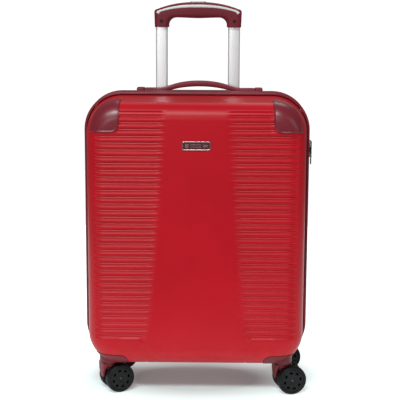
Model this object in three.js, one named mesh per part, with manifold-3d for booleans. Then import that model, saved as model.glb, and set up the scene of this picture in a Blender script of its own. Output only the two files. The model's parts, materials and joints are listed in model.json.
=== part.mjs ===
// Hard shell cabin suitcase on four twin-wheel casters: two drafted shells joined by a zip, a two-stage
// pull handle, a sprung carry handle, a combination lock and swivelling casters.
// Millimetres, +Z up, front face towards -Y, origin on the floor in the middle of the footprint.

import * as THREE from 'three';
import { mergeVertices } from 'three/addons/utils/BufferGeometryUtils.js';
import Module from 'manifold-3d';

const wasm = await Module();
wasm.setup();

// ---- Driving dimensions -------------------------------------------------------------------------

const FIT = 0.3;                    // gap between pieces that touch

// Case
const CASE_WIDTH = 400;             // across the edge trims
const CASE_HEIGHT = 488;            // edge trims, lowest to highest point
const CASE_DEPTH = 200;             // front face to back face
const CORNER_RADIUS = 67;           // of the edge trims, seen from the front
const SHELL_WALL = 2.6;
const SHELL_DRAFT = 5;              // how far the side walls lean in on their way to the face
const FACE_FILLET = 30;             // between side wall and face
const TRIM_THICKNESS = 4.7;
const TRIM_WIDTH = 9.7;             // along the depth of the case
const ZIP_TAPE_WIDTH = 6;           // each side of the parting plane
const ZIP_TAPE_INSET = 2;           // the tape lies this much lower than the trims
const LINING_THICKNESS = 1.4;
const LINING_GAP = 0.4;
const REAR_PANEL_GAP = 5;           // handle tubes to the lining panel that hides them
const REAR_PANEL_FILLET = 12;

// Casters
const WHEEL_DIAMETER = 52;
const WHEEL_WIDTH = 14.5;
const WHEEL_FACETS = 24;
const TYRE_HEIGHT = 8;              // tread to hub
const TYRE_CHAMFER = 2.6;
const HUB_RECESS = 1;
const AXLE_RADIUS = 3;
const TRAIL = 14;                   // swivel axis to axle
const FORK_BLADE = 14;              // thickness of the blade between the twin wheels
const WHEEL_GAP = 0.6;              // blade to wheel
const FORK_HEAD = 3;                // top of the wheels to the underside of the housing
const TURRET_RADIUS = 12;
const KING_PIN_RADIUS = 5;
const KING_PIN_LENGTH = 16;
const SWIVEL_INSET = 45;            // side of the case to swivel axis
const SWING_GAP = 1;                // turning wheels to edge trims
const HOUSING_DROP = 8;             // underside of the housing above the lowest point of the case
const HOUSING_HEIGHT = 22;
const HOUSING_REACH = 35;           // swivel axis to the housing's inner side, across the case
const HOUSING_BACK = 30;            // swivel axis to the housing's inner side, along the depth
const HOUSING_FILLET = 14;

// Corner guards
const GUARD_SPAN = 71.5;            // side of the case to the guard's inner edge
const GUARD_DROP = 61;              // top of the case to the guard's lower edge
const GUARD_MARGIN = 10.5;          // side of the case to the guard's outer edge
const GUARD_THICKNESS = 2;
const GUARD_FILLET = 12;

// Badge
const BADGE_WIDTH = 49;
const BADGE_HEIGHT = 16;
const BADGE_BORDER = 2.4;
const BADGE_THICKNESS = 1.8;
const BADGE_DROP = 83;              // top of the case to the middle of the badge

// Pull handle
const TUBE_SPACING = 131.5;
const TUBE_WIDTH = 21.5;            // innermost tube
const TUBE_DEPTH = 13;
const TUBE_WALL = 1.4;
const TUBE_CLEARANCE = 0.4;         // between nested tubes, each side
const TUBE_SETBACK = 34;            // tube axis to the back face
const MID_TUBE_DROP = 10;           // top of the bezel to the top of the middle tubes
const FOOT_HEIGHT = 12;
const FOOT_PLUG = 10;               // how far the foot reaches up into the fixed tubes
const HANDLE_LIFT = 116;            // bezel to grip legs as the handle stands
const INNER_TUBE_LENGTH = 442;
const BEZEL_MARGIN = 4;             // bezel around the fixed tubes
const BEZEL_LIP = 3;                // flange around the neck of the bezel
const BEZEL_NECK = 14;
const BEZEL_DROP = 5.5;             // top of the case to the top of the bezel

// Grip of the pull handle
const GRIP_LEG_WIDTH = 27;
const GRIP_DEPTH = 26;
const GRIP_HEIGHT = 45;             // legs to crown
const GRIP_BAR = 28;                // crown to underside of the bar
const GRIP_CROWN = 13;              // how much the top is arched
const GRIP_SHOULDER = 5;
const GRIP_FILLET = 14;
const GRIP_BEVEL = 3.5;
const GRIP_SOCKET = 12;             // tube in the leg
const INLAY_DROP = 4.5;             // crown to the upper edge of the inlay
const INLAY_HEIGHT = 5;
const INLAY_THICKNESS = 1.5;
const BUTTON_WIDTH = 28;
const BUTTON_DEPTH = 12;
const BUTTON_PROUD = 1.6;
const BUTTON_HEIGHT = 9;
const BUTTON_TRAVEL = 3;
const BUTTON_BEVEL = 1;

// Carry handle
const CARRY_LENGTH = 226;           // over both caps
const CARRY_OFFSET = 4;             // from the middle, to the right
const CARRY_GAP = 1.3;              // caps to the edge trim
const CARRY_WIDTH = 20;
const CARRY_THICKNESS = 10;
const CARRY_RISE = 23;              // shell to crown
const CARRY_PAD = 8;                // thickness of the flat ends
const CARRY_PAD_LENGTH = 24;
const CARRY_TONGUE = 3;
const BELL_FOOT = 0.75;             // where the bell curve's lower and upper control points stand,
const BELL_CROWN = 0.6;             // as shares of its half length
const CAP_LENGTH = 14;
const CAP_HEIGHT = 10.8;
const CAP_WALL = 2.4;

// Lock and zip
const LOCK_HEIGHT = 28;
const LOCK_DROP = 103;              // top of the case to the middle of the lock
const LOCK_WIDTH = 18;
const LOCK_PROUD = 5.7;
const LOCK_GAP = 2;                 // zip sliders to the lock
const LOCK_CORNER = 4;
const DIAL_COUNT = 3;
const DIAL_RADIUS = 3.2;
const DIAL_PROUD = 0.9;
const DIAL_THICKNESS = 3.4;
const DIAL_PITCH = 5;
const DIAL_PIN_RADIUS = 1;
const LOCK_BUTTON_RADIUS = 2.6;
const LOCK_BUTTON_PROUD = 0.9;
const SLIDER_LENGTH = 10;
const SLIDER_WIDTH = 9;
const SLIDER_HEIGHT = 4;
const SLIDER_CORNER = 1.5;
const SLIDER_SPACING = 19;          // the two sliders, closed
const TAB_LENGTH = 15;
const TAB_WIDTH = 5.4;
const TAB_THICKNESS = 1.6;
const TAB_PIN_RADIUS = 0.8;

// Packing strap
const STRAP_WIDTH = 24;
const STRAP_THICKNESS = 1.2;
const STRAP_SPREAD = 118;           // middle to the sewn ends
const STRAP_END = 62;               // sewn ends from the top and bottom of the case
const BUCKLE_SIZE = 36;
const BUCKLE_CORNER = 5;
const BUCKLE_THICKNESS = 3;

// Cuts and joins run this much past a face
const PAST = 1;

// Fineness of arcs
const OUTLINE_STEPS = 3;
const FILLET_STEPS = 4;
const ROUND_STEPS = 20;
const PIN_STEPS = 16;
const SMALL_PIN_STEPS = 8;
const CORNER_LIMIT = 0.498;         // of a side, so that two rounded corners never quite meet
const SAME_POINT = 1e-6;
const WELD = 1e-4;

// ---- Sizes that follow --------------------------------------------------------------------------

const RIM = ZIP_TAPE_WIDTH + FIT;
const TRIM_REACH = RIM + TRIM_WIDTH;
const SHELL_INSET = TRIM_THICKNESS + FIT;
const HALF_WIDTH = CASE_WIDTH / 2;
const HALF_DEPTH = CASE_DEPTH / 2;
const WALL_SLOPE = SHELL_DRAFT / (HALF_DEPTH - FACE_FILLET - RIM);

const WHEEL_RADIUS = WHEEL_DIAMETER / 2;
const WHEEL_OFFSET = FORK_BLADE / 2 + WHEEL_GAP + WHEEL_WIDTH / 2;
const SWING_RADIUS = Math.hypot(TRAIL + WHEEL_RADIUS, WHEEL_OFFSET + WHEEL_WIDTH / 2);
const SWIVEL_X = HALF_WIDTH - SWIVEL_INSET;
const SWIVEL_Y = TRIM_REACH + SWING_GAP + SWING_RADIUS;
const HOUSING_Z = WHEEL_DIAMETER + FORK_HEAD;
const CASE_BOTTOM = HOUSING_Z - HOUSING_DROP;
const CASE_TOP = CASE_BOTTOM + CASE_HEIGHT;

const TUBE_Y = HALF_DEPTH - TUBE_SETBACK;
const TUBE_STEP = 2 * (TUBE_CLEARANCE + TUBE_WALL);   // from one tube's outside to the next
const OUTER_WIDTH = TUBE_WIDTH + 2 * TUBE_STEP;
const OUTER_DEPTH = TUBE_DEPTH + 2 * TUBE_STEP;
const REAR_PANEL_DEPTH = TUBE_Y - OUTER_DEPTH / 2 - REAR_PANEL_GAP;
const BEZEL_TOP = CASE_TOP - BEZEL_DROP;
const NECK_BOTTOM = BEZEL_TOP - BEZEL_NECK;
const FOOT_BOTTOM = CASE_BOTTOM + SHELL_INSET + SHELL_DRAFT + SHELL_WALL + FIT;
const FOOT_TOP = FOOT_BOTTOM + FOOT_HEIGHT;
const GRIP_BOTTOM = BEZEL_TOP + HANDLE_LIFT;
const GRIP_TOP = GRIP_BOTTOM + GRIP_HEIGHT;

const LOCK_Z = CASE_TOP - LOCK_DROP;
const LOCK_X = HALF_WIDTH + FIT;
const LOCK_Y = SLIDER_WIDTH / 2 + LOCK_GAP + LOCK_WIDTH / 2;
const ZIP_X = HALF_WIDTH - ZIP_TAPE_INSET + FIT;

const FRONT = -1;
const REAR = 1;
const LEFT = -1;
const RIGHT = 1;

// ---- Materials ----------------------------------------------------------------------------------

function finish(color, roughness, metalness = 0) {
  return new THREE.MeshStandardMaterial({ color, roughness, metalness });
}

const SHELL_RED = finish(0xa81c26, 0.42);
const MAROON = finish(0x6a222b, 0.5);
const ZIP_BLACK = finish(0x1a1718, 0.8);
const LINING_GREY = finish(0x4b4a4e, 0.9);
const ALUMINIUM = finish(0xd3d5d6, 0.3, 1);
const BLACK_PLASTIC = finish(0x161616, 0.5);
const WHEEL_BLACK = finish(0x1a1b1b, 0.6);
const STEEL = finish(0xb9bbbd, 0.3, 1);
const INLAY_GREY = finish(0x8d8f93, 0.4);
const BADGE_METAL = finish(0xc3989a, 0.3, 1);
const BADGE_DARK = finish(0x5a2028, 0.4);

// ---- Shape helpers ------------------------------------------------------------------------------

// Closed geometry to a solid that can be joined and cut.
function solid(geometry) {
  const bare = geometry.clone();
  bare.deleteAttribute('normal');
  bare.deleteAttribute('uv');
  const merged = mergeVertices(bare, WELD);
  return new wasm.Manifold(new wasm.Mesh({
    numProp: 3,
    vertProperties: Float32Array.from(merged.attributes.position.array),
    triVerts: Uint32Array.from(merged.index.array),
  }));
}

function geometryOf(body) {
  const mesh = body.getMesh();
  const geometry = new THREE.BufferGeometry();
  geometry.setAttribute('position', new THREE.BufferAttribute(mesh.vertProperties, 3));
  geometry.setIndex(new THREE.BufferAttribute(mesh.triVerts, 1));
  geometry.computeVertexNormals();
  return geometry;
}

// Rectangle with rounded corners, drawn anticlockwise.
function roundedRect(left, right, low, high, radius) {
  const r = Math.min(radius, (right - left) * CORNER_LIMIT, (high - low) * CORNER_LIMIT);
  const quarter = Math.PI / 2;
  const shape = new THREE.Shape();
  shape.moveTo(left + r, low);
  shape.lineTo(right - r, low);
  shape.absarc(right - r, low + r, r, -quarter, 0);
  shape.lineTo(right, high - r);
  shape.absarc(right - r, high - r, r, 0, quarter);
  shape.lineTo(left + r, high);
  shape.absarc(left + r, high - r, r, quarter, 2 * quarter);
  shape.lineTo(left, low + r);
  shape.absarc(left + r, low + r, r, 2 * quarter, 3 * quarter);
  return shape;
}

function centredRect(x, y, width, height, radius) {
  return roundedRect(x - width / 2, x + width / 2, y - height / 2, y + height / 2, radius);
}

// Local X, Y and depth of an extrusion laid along a row axis: a shape drawn in XY rises along Z, one drawn
// in XZ runs along Y, and one drawn in YZ runs along X.
const AXIS_TURN = {
  z: new THREE.Matrix4(),
  y: new THREE.Matrix4().makeRotationX(Math.PI / 2),
  x: new THREE.Matrix4().makeBasis(
    new THREE.Vector3(0, 1, 0), new THREE.Vector3(0, 0, 1), new THREE.Vector3(1, 0, 0)),
};

// A shape carried along one axis, from one coordinate to another, its end edges bevelled.
function prism(shape, axis, from, to, bevel = 0, steps = OUTLINE_STEPS) {
  const geometry = new THREE.ExtrudeGeometry(shape, {
    depth: to - from - 2 * bevel,
    curveSegments: steps,
    bevelEnabled: bevel > 0,
    bevelSize: bevel,
    bevelThickness: bevel,
    bevelOffset: -bevel,
    bevelSegments: 1,
  });
  geometry.translate(0, 0, axis === 'y' ? bevel - to : from + bevel);
  return geometry.applyMatrix4(AXIS_TURN[axis]);
}

function box(x0, x1, y0, y1, z0, z1) {
  const geometry = new THREE.BoxGeometry(x1 - x0, y1 - y0, z1 - z0);
  return geometry.translate((x0 + x1) / 2, (y0 + y1) / 2, (z0 + z1) / 2);
}

// Upright cylinder.
function post(x, y, radius, low, high, steps = ROUND_STEPS) {
  const geometry = new THREE.CylinderGeometry(radius, radius, high - low, steps);
  return geometry.rotateX(Math.PI / 2).translate(x, y, (low + high) / 2);
}

// Cylinder along Y.
function pin(x, z, radius, from, to, steps = ROUND_STEPS) {
  const geometry = new THREE.CylinderGeometry(radius, radius, to - from, steps);
  return geometry.translate(x, (from + to) / 2, z);
}

// Stack of equal-length rings on planes of constant Y, closed at both ends by a fan.
function loft(rings) {
  const count = rings[0].points.length;
  const positions = [];
  const index = [];
  for (const { points, y } of rings) {
    for (const p of points) positions.push(p.x, y, p.y);
  }
  for (let r = 0; r + 1 < rings.length; r += 1) {
    for (let i = 0; i < count; i += 1) {
      const here = r * count + i;
      const next = r * count + (i + 1) % count;
      index.push(here, here + count, next, next, here + count, next + count);
    }
  }
  const ends = [{ ring: 0, turn: 1 }, { ring: rings.length - 1, turn: -1 }];
  for (const { ring, turn } of ends) {
    const centre = positions.length / 3;
    positions.push(0, rings[ring].y, (CASE_BOTTOM + CASE_TOP) / 2);
    for (let i = 0; i < count; i += 1) {
      const pair = [ring * count + i, ring * count + (i + 1) % count];
      index.push(centre, pair[turn > 0 ? 0 : 1], pair[turn > 0 ? 1 : 0]);
    }
  }
  const geometry = new THREE.BufferGeometry();
  geometry.setAttribute('position', new THREE.Float32BufferAttribute(positions, 3));
  geometry.setIndex(index);
  return geometry;
}

function mirrored(body, side) {
  return side < 0 ? body.mirror([0, 1, 0]) : body;
}

// ---- The case's outline and its two trays ---------------------------------------------------------

// Outline of the case in the XZ plane, moved in from the edge trims by an inset.
function outline(inset) {
  return roundedRect(
    inset - HALF_WIDTH, HALF_WIDTH - inset, CASE_BOTTOM + inset, CASE_TOP - inset, CORNER_RADIUS - inset);
}

// How far a shell wall stands in from the trims at a given depth.
function wallInset(depth) {
  return SHELL_INSET + WALL_SLOPE * (depth - RIM);
}

// Solid bounded by a shell's surface moved out by grow: drafted wall, fillet, flat face.
function tray(side, grow, start, face = HALF_DEPTH, fillet = FACE_FILLET) {
  const wallEnd = face - fillet;
  const rows = [[wallInset(start) - grow, start]];
  for (let k = 0; k <= FILLET_STEPS; k += 1) {
    const angle = (k / FILLET_STEPS) * (Math.PI / 2);
    const radius = fillet + grow;
    rows.push([
      wallInset(wallEnd) + fillet - radius * Math.cos(angle), wallEnd + radius * Math.sin(angle)]);
  }
  const rings = rows.map(([inset, depth]) => ({ points: ring(outline(inset)), y: depth }));
  return mirrored(solid(loft(rings)), side);
}

// The points of a closed shape, without the doubles where its lines and arcs meet.
function ring(shape) {
  const points = shape.getPoints(OUTLINE_STEPS);
  return points.filter((p, i) => p.distanceTo(points[(i + 1) % points.length]) > SAME_POINT);
}

// Frame-like ring that follows the outline, between two insets and two depths.
function edgeRing(side, outerInset, innerInset, from, to) {
  const shape = outline(outerInset);
  shape.holes.push(outline(innerInset));
  return mirrored(solid(prism(shape, 'y', from, to)), side);
}

// Block that rounds off over a caster: two arches, one seen from the front and one from the side.
function arch(side, end, grow) {
  const top = HOUSING_Z + HOUSING_HEIGHT + grow;
  const inner = SWIVEL_X - HOUSING_REACH - grow;
  const back = SWIVEL_Y - HOUSING_BACK - grow;
  const outer = CASE_WIDTH;
  const fillet = HOUSING_FILLET + grow;
  const front = solid(prism(roundedRect(inner, outer, -top, top, fillet), 'y', back, CASE_DEPTH));
  const flank = solid(prism(roundedRect(back, CASE_DEPTH, -top, top, fillet), 'x', inner, outer));
  const block = front.intersect(flank);
  return mirrored(end < 0 ? block.mirror([1, 0, 0]) : block, side);
}

function withoutArches(body, side, grow) {
  return body.subtract(arch(side, LEFT, grow)).subtract(arch(side, RIGHT, grow));
}

// ---- Pieces of the two half cases -----------------------------------------------------------------

function shellOf(side) {
  const outer = withoutArches(tray(side, 0, RIM), side, FIT);
  const inner = withoutArches(tray(side, -SHELL_WALL, RIM - PAST), side, FIT + SHELL_WALL);
  const shell = outer.subtract(inner);
  return side === REAR ? shell.subtract(solid(bezelNeck(FIT))) : shell;
}

function liningOf(side) {
  const away = SHELL_WALL + LINING_GAP;
  const face = side === REAR ? REAR_PANEL_DEPTH + away : HALF_DEPTH;
  const fillet = side === REAR ? REAR_PANEL_FILLET : FACE_FILLET;
  const outer = withoutArches(tray(side, -away, RIM, face, fillet), side, FIT + away);
  const inside = away + LINING_THICKNESS;
  const inner = withoutArches(tray(side, -inside, RIM - PAST, face, fillet), side, FIT + inside);
  return outer.subtract(inner);
}

function trimOf(side) {
  return edgeRing(side, 0, TRIM_THICKNESS, RIM, TRIM_REACH);
}

function zipTapeOf(side) {
  return edgeRing(side, ZIP_TAPE_INSET, SHELL_INSET, FIT / 2, ZIP_TAPE_WIDTH);
}

// Cover over a top corner: a layer of the tray's surface inside a rounded window seen from the front.
function cornerGuard(side, end) {
  const layer = tray(side, FIT + GUARD_THICKNESS, RIM).subtract(tray(side, FIT, RIM - PAST));
  const inner = HALF_WIDTH - GUARD_SPAN;
  const low = CASE_TOP - GUARD_DROP;
  const window = prism(
    roundedRect(inner, CASE_WIDTH, low, CASE_TOP + GUARD_DROP, GUARD_FILLET), 'y', RIM, CASE_DEPTH);
  const sheet = prism(outline(GUARD_MARGIN), 'y', RIM, CASE_DEPTH);
  const cutter = solid(window).intersect(solid(sheet));
  return layer.intersect(mirrored(end < 0 ? cutter.mirror([1, 0, 0]) : cutter, side));
}

// Plate that carries a caster: fills the arch, flush with the shell, with a bore for the king pin.
function casterHousing(side, end) {
  const x = end * SWIVEL_X;
  const y = side * SWIVEL_Y;
  const below = solid(box(-CASE_WIDTH, CASE_WIDTH, -CASE_DEPTH, CASE_DEPTH, -CASE_HEIGHT, HOUSING_Z));
  const bore = post(x, y, KING_PIN_RADIUS + FIT, 0, HOUSING_Z + KING_PIN_LENGTH + FIT);
  return tray(side, 0, RIM).intersect(arch(side, end, 0)).subtract(below).subtract(solid(bore));
}

// ---- Badge ------------------------------------------------------------------------------------------

function badgeFrame() {
  const z = CASE_TOP - BADGE_DROP;
  const shape = centredRect(0, z, BADGE_WIDTH, BADGE_HEIGHT, BADGE_BORDER);
  shape.holes.push(badgeOpening(0));
  return prism(shape, 'y', -HALF_DEPTH - FIT - BADGE_THICKNESS, -HALF_DEPTH - FIT);
}

function badgeOpening(gap) {
  const cut = 2 * (BADGE_BORDER + gap);
  return centredRect(
    0, CASE_TOP - BADGE_DROP, BADGE_WIDTH - cut, BADGE_HEIGHT - cut, BADGE_BORDER / 2);
}

function badgePlate() {
  return prism(badgeOpening(FIT), 'y', -HALF_DEPTH - BADGE_THICKNESS, -HALF_DEPTH - FIT);
}

// ---- Pull handle ------------------------------------------------------------------------------------

// Hollow tube of a nesting stage: 0 slides innermost, 2 is fixed in the case.
function tube(end, stage, low, high) {
  const width = TUBE_WIDTH + stage * TUBE_STEP;
  const depth = TUBE_DEPTH + stage * TUBE_STEP;
  const x = (end * TUBE_SPACING) / 2;
  const radius = depth / 4;
  const shape = centredRect(x, TUBE_Y, width, depth, radius);
  const wall = 2 * TUBE_WALL;
  shape.holes.push(centredRect(x, TUBE_Y, width - wall, depth - wall, radius - TUBE_WALL / 2));
  return prism(shape, 'z', low, high);
}

function bezelNeck(grow) {
  const width = TUBE_SPACING + OUTER_WIDTH + 2 * (BEZEL_MARGIN + grow);
  const depth = OUTER_DEPTH + 2 * (BEZEL_MARGIN + grow);
  return prism(centredRect(0, TUBE_Y, width, depth, 2 * BEZEL_MARGIN), 'z', NECK_BOTTOM, BEZEL_TOP);
}

// Moulded collar in the top wall that the tubes slide through.
function handleBezel() {
  const width = TUBE_SPACING + OUTER_WIDTH + 2 * (BEZEL_MARGIN + BEZEL_LIP);
  const depth = OUTER_DEPTH + 2 * (BEZEL_MARGIN + BEZEL_LIP);
  const flange = prism(
    centredRect(0, TUBE_Y, width, depth, 3 * BEZEL_LIP), 'z', NECK_BOTTOM, BEZEL_TOP);
  let body = solid(flange).subtract(tray(REAR, FIT, 0)).add(solid(bezelNeck(0)));
  for (const end of [LEFT, RIGHT]) {
    const hole = centredRect(
      (end * TUBE_SPACING) / 2, TUBE_Y, OUTER_WIDTH - 2 * TUBE_WALL, OUTER_DEPTH - 2 * TUBE_WALL,
      (OUTER_DEPTH - 2 * TUBE_WALL) / 4);
    body = body.subtract(solid(prism(hole, 'z', NECK_BOTTOM - PAST, BEZEL_TOP + PAST)));
  }
  return body;
}

// Bracket on the bottom wall that the fixed tubes stand on, with a plug up into each.
function tubeFoot() {
  const width = TUBE_SPACING + OUTER_WIDTH;
  let body = solid(prism(
    centredRect(0, TUBE_Y, width, OUTER_DEPTH, BEZEL_MARGIN), 'z', FOOT_BOTTOM, FOOT_TOP));
  for (const end of [LEFT, RIGHT]) {
    const plug = centredRect((end * TUBE_SPACING) / 2, TUBE_Y, TUBE_WIDTH, TUBE_DEPTH, TUBE_WALL);
    body = body.add(solid(prism(plug, 'z', FOOT_TOP - PAST, FOOT_TOP + FOOT_PLUG)));
  }
  return body.intersect(tray(REAR, -SHELL_WALL - FIT, 0));
}

// Ends and control point of the grip's crown, a parabola, lowered by drop.
function crownLine(drop) {
  return { ends: GRIP_TOP - GRIP_CROWN - drop, control: GRIP_TOP + GRIP_CROWN - drop };
}

const GRIP_HALF = (TUBE_SPACING + GRIP_LEG_WIDTH) / 2;

// Front outline of the grip: two legs, arched top, filleted underside.
function gripOutline() {
  const legInner = GRIP_HALF - GRIP_LEG_WIDTH;
  const span = GRIP_HALF - GRIP_SHOULDER;
  const crown = crownLine(0);
  const under = GRIP_TOP - GRIP_BAR;
  const shape = new THREE.Shape();
  shape.moveTo(-legInner, GRIP_BOTTOM);
  shape.lineTo(-legInner, under - GRIP_FILLET);
  shape.absarc(GRIP_FILLET - legInner, under - GRIP_FILLET, GRIP_FILLET, Math.PI, Math.PI / 2, true);
  shape.lineTo(legInner - GRIP_FILLET, under);
  shape.absarc(legInner - GRIP_FILLET, under - GRIP_FILLET, GRIP_FILLET, Math.PI / 2, 0, true);
  shape.lineTo(legInner, GRIP_BOTTOM);
  shape.lineTo(GRIP_HALF, GRIP_BOTTOM);
  shape.lineTo(GRIP_HALF, crown.ends - GRIP_SHOULDER);
  shape.quadraticCurveTo(GRIP_HALF, crown.ends - GRIP_SHOULDER / 4, span, crown.ends);
  shape.quadraticCurveTo(0, crown.control, -span, crown.ends);
  shape.quadraticCurveTo(-GRIP_HALF, crown.ends - GRIP_SHOULDER / 4, -GRIP_HALF, crown.ends - GRIP_SHOULDER);
  shape.lineTo(-GRIP_HALF, GRIP_BOTTOM);
  return shape;
}

// Band below the crown on the front of the grip.
function inlayOutline(grow) {
  const span = GRIP_HALF - GRIP_SHOULDER + grow;
  const upper = crownLine(INLAY_DROP - grow);
  const lower = crownLine(INLAY_DROP + INLAY_HEIGHT + grow);
  const shape = new THREE.Shape();
  shape.moveTo(-span, lower.ends);
  shape.quadraticCurveTo(0, lower.control, span, lower.ends);
  shape.lineTo(span, upper.ends);
  shape.quadraticCurveTo(0, upper.control, -span, upper.ends);
  return shape;
}

const GRIP_FRONT = TUBE_Y - GRIP_DEPTH / 2;

function grip() {
  let body = solid(prism(
    gripOutline(), 'y', GRIP_FRONT, TUBE_Y + GRIP_DEPTH / 2, GRIP_BEVEL, 2 * OUTLINE_STEPS));
  for (const end of [LEFT, RIGHT]) {
    const socket = centredRect(
      (end * TUBE_SPACING) / 2, TUBE_Y, TUBE_WIDTH + 2 * FIT, TUBE_DEPTH + 2 * FIT, TUBE_DEPTH / 4);
    body = body.subtract(
      solid(prism(socket, 'z', GRIP_BOTTOM - PAST, GRIP_BOTTOM + GRIP_SOCKET + FIT)));
  }
  const well = centredRect(0, TUBE_Y, BUTTON_WIDTH + 2 * FIT, BUTTON_DEPTH + 2 * FIT, BUTTON_DEPTH / 3);
  const wellFloor = GRIP_TOP + BUTTON_PROUD - BUTTON_HEIGHT - BUTTON_TRAVEL - FIT;
  body = body.subtract(solid(prism(well, 'z', wellFloor, GRIP_TOP + BUTTON_HEIGHT)));
  const groove = prism(
    inlayOutline(FIT), 'y', GRIP_FRONT - PAST, GRIP_FRONT + INLAY_THICKNESS + FIT, 0, 2 * OUTLINE_STEPS);
  return body.subtract(solid(groove));
}

function gripInlay() {
  return prism(
    inlayOutline(0), 'y', GRIP_FRONT, GRIP_FRONT + INLAY_THICKNESS, 0, 2 * OUTLINE_STEPS);
}

function gripButton() {
  const top = GRIP_TOP + BUTTON_PROUD;
  return prism(
    centredRect(0, TUBE_Y, BUTTON_WIDTH, BUTTON_DEPTH, BUTTON_DEPTH / 3), 'z', top - BUTTON_HEIGHT, top,
    BUTTON_BEVEL);
}

// ---- Carry handle -----------------------------------------------------------------------------------

const CAP_HALF = CARRY_WIDTH / 2 + FIT + CAP_WALL;
const CARRY_Y = TRIM_REACH + CARRY_GAP + CAP_HALF;
const CARRY_BASE = CASE_TOP - wallInset(CARRY_Y);     // top wall of the rear shell under the handle
const CARRY_HALF = CARRY_LENGTH / 2;
const CARRY_FLOOR = CARRY_BASE + CAP_WALL - FIT;      // underside of the flat ends

// Half of a bell curve from a flat end up to the crown, then down again.
function bell(shape, from, foot, crown) {
  const low = BELL_FOOT * from;
  const high = BELL_CROWN * from;
  shape.bezierCurveTo(low, foot, high, crown, 0, crown);
  shape.bezierCurveTo(-high, crown, -low, foot, -from, foot);
}

function carryHandle() {
  const tongueEnd = CARRY_HALF - CAP_WALL - FIT;
  const padEnd = CARRY_HALF - CAP_LENGTH - FIT;
  const bellStart = padEnd - CARRY_PAD_LENGTH + FIT;
  const crown = CARRY_BASE + CARRY_RISE;
  const shape = new THREE.Shape();
  shape.moveTo(-tongueEnd, CARRY_FLOOR);
  shape.lineTo(-bellStart, CARRY_FLOOR);
  bell(shape, -bellStart, CARRY_FLOOR, crown - CARRY_THICKNESS);
  shape.lineTo(tongueEnd, CARRY_FLOOR);
  shape.lineTo(tongueEnd, CARRY_FLOOR + CARRY_TONGUE);
  shape.lineTo(padEnd, CARRY_FLOOR + CARRY_TONGUE);
  shape.lineTo(padEnd, CARRY_FLOOR + CARRY_PAD);
  shape.lineTo(bellStart, CARRY_FLOOR + CARRY_PAD);
  bell(shape, bellStart, CARRY_FLOOR + CARRY_PAD, crown);
  shape.lineTo(-padEnd, CARRY_FLOOR + CARRY_PAD);
  shape.lineTo(-padEnd, CARRY_FLOOR + CARRY_TONGUE);
  shape.lineTo(-tongueEnd, CARRY_FLOOR + CARRY_TONGUE);
  const geometry = prism(
    shape, 'y', CARRY_Y - CARRY_WIDTH / 2, CARRY_Y + CARRY_WIDTH / 2, 0, 2 * OUTLINE_STEPS);
  return geometry.translate(CARRY_OFFSET, 0, 0);
}

// Cap that holds one end: open towards the middle, with a lip over the tongue as its upper stop.
function carryCap(end) {
  const inner = CARRY_HALF - CAP_LENGTH;
  const top = CARRY_BASE + CAP_HEIGHT;
  const block = solid(box(
    inner, CARRY_HALF, CARRY_Y - CAP_HALF, CARRY_Y + CAP_HALF, CARRY_BASE - CAP_HEIGHT, top));
  const cavity = solid(box(
    inner - PAST, CARRY_HALF - CAP_WALL, CARRY_Y - CAP_HALF + CAP_WALL, CARRY_Y + CAP_HALF - CAP_WALL,
    CARRY_FLOOR - FIT, top - CAP_WALL));
  const cap = block.subtract(cavity);
  const placed = end < 0 ? cap.mirror([1, 0, 0]) : cap;
  return placed.translate([CARRY_OFFSET, 0, 0]).subtract(tray(REAR, FIT, 0));
}

// ---- Lock, zip sliders and packing strap --------------------------------------------------------------

const DIAL_X = LOCK_X + LOCK_PROUD + DIAL_PROUD - DIAL_RADIUS;

function dialHeight(i) {
  return LOCK_Z + LOCK_HEIGHT / 2 - DIAL_PITCH * (i + 1);
}

// Lock case on the edge trim, with a slot and a pin for the dials and a well for the button.
function lockBody() {
  const far = LOCK_X + LOCK_PROUD;
  const shape = roundedRect(
    LOCK_Y - LOCK_WIDTH / 2, LOCK_Y + LOCK_WIDTH / 2, LOCK_Z - LOCK_HEIGHT / 2, LOCK_Z + LOCK_HEIGHT / 2,
    LOCK_CORNER);
  let body = solid(prism(shape, 'x', LOCK_X, far));
  const slotHalf = DIAL_RADIUS + FIT;
  const slotHeight = DIAL_THICKNESS / 2 + FIT;
  for (let i = 0; i < DIAL_COUNT; i += 1) {
    const z = dialHeight(i);
    const slot = box(
      DIAL_X - slotHalf, far + PAST, LOCK_Y - slotHalf, LOCK_Y + slotHalf, z - slotHeight, z + slotHeight);
    body = body.subtract(solid(slot));
  }
  const low = dialHeight(DIAL_COUNT - 1) - DIAL_PITCH / 2;
  body = body.add(solid(post(DIAL_X, LOCK_Y, DIAL_PIN_RADIUS, low, dialHeight(0) + DIAL_PITCH / 2,
    SMALL_PIN_STEPS)));
  const well = new THREE.CylinderGeometry(
    LOCK_BUTTON_RADIUS + FIT, LOCK_BUTTON_RADIUS + FIT, LOCK_PROUD, ROUND_STEPS);
  well.rotateZ(Math.PI / 2).translate(far - LOCK_PROUD / 2 + PAST, LOCK_Y, lockButtonHeight());
  return body.subtract(solid(well));
}

function lockButtonHeight() {
  return LOCK_Z - LOCK_HEIGHT / 2 + 2 * LOCK_BUTTON_RADIUS;
}

function lockButton() {
  const length = LOCK_PROUD / 2;
  const geometry = new THREE.CylinderGeometry(LOCK_BUTTON_RADIUS, LOCK_BUTTON_RADIUS, length, ROUND_STEPS);
  const x = LOCK_X + LOCK_PROUD + LOCK_BUTTON_PROUD - length / 2;
  return geometry.rotateZ(Math.PI / 2).translate(x, LOCK_Y, lockButtonHeight());
}

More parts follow.
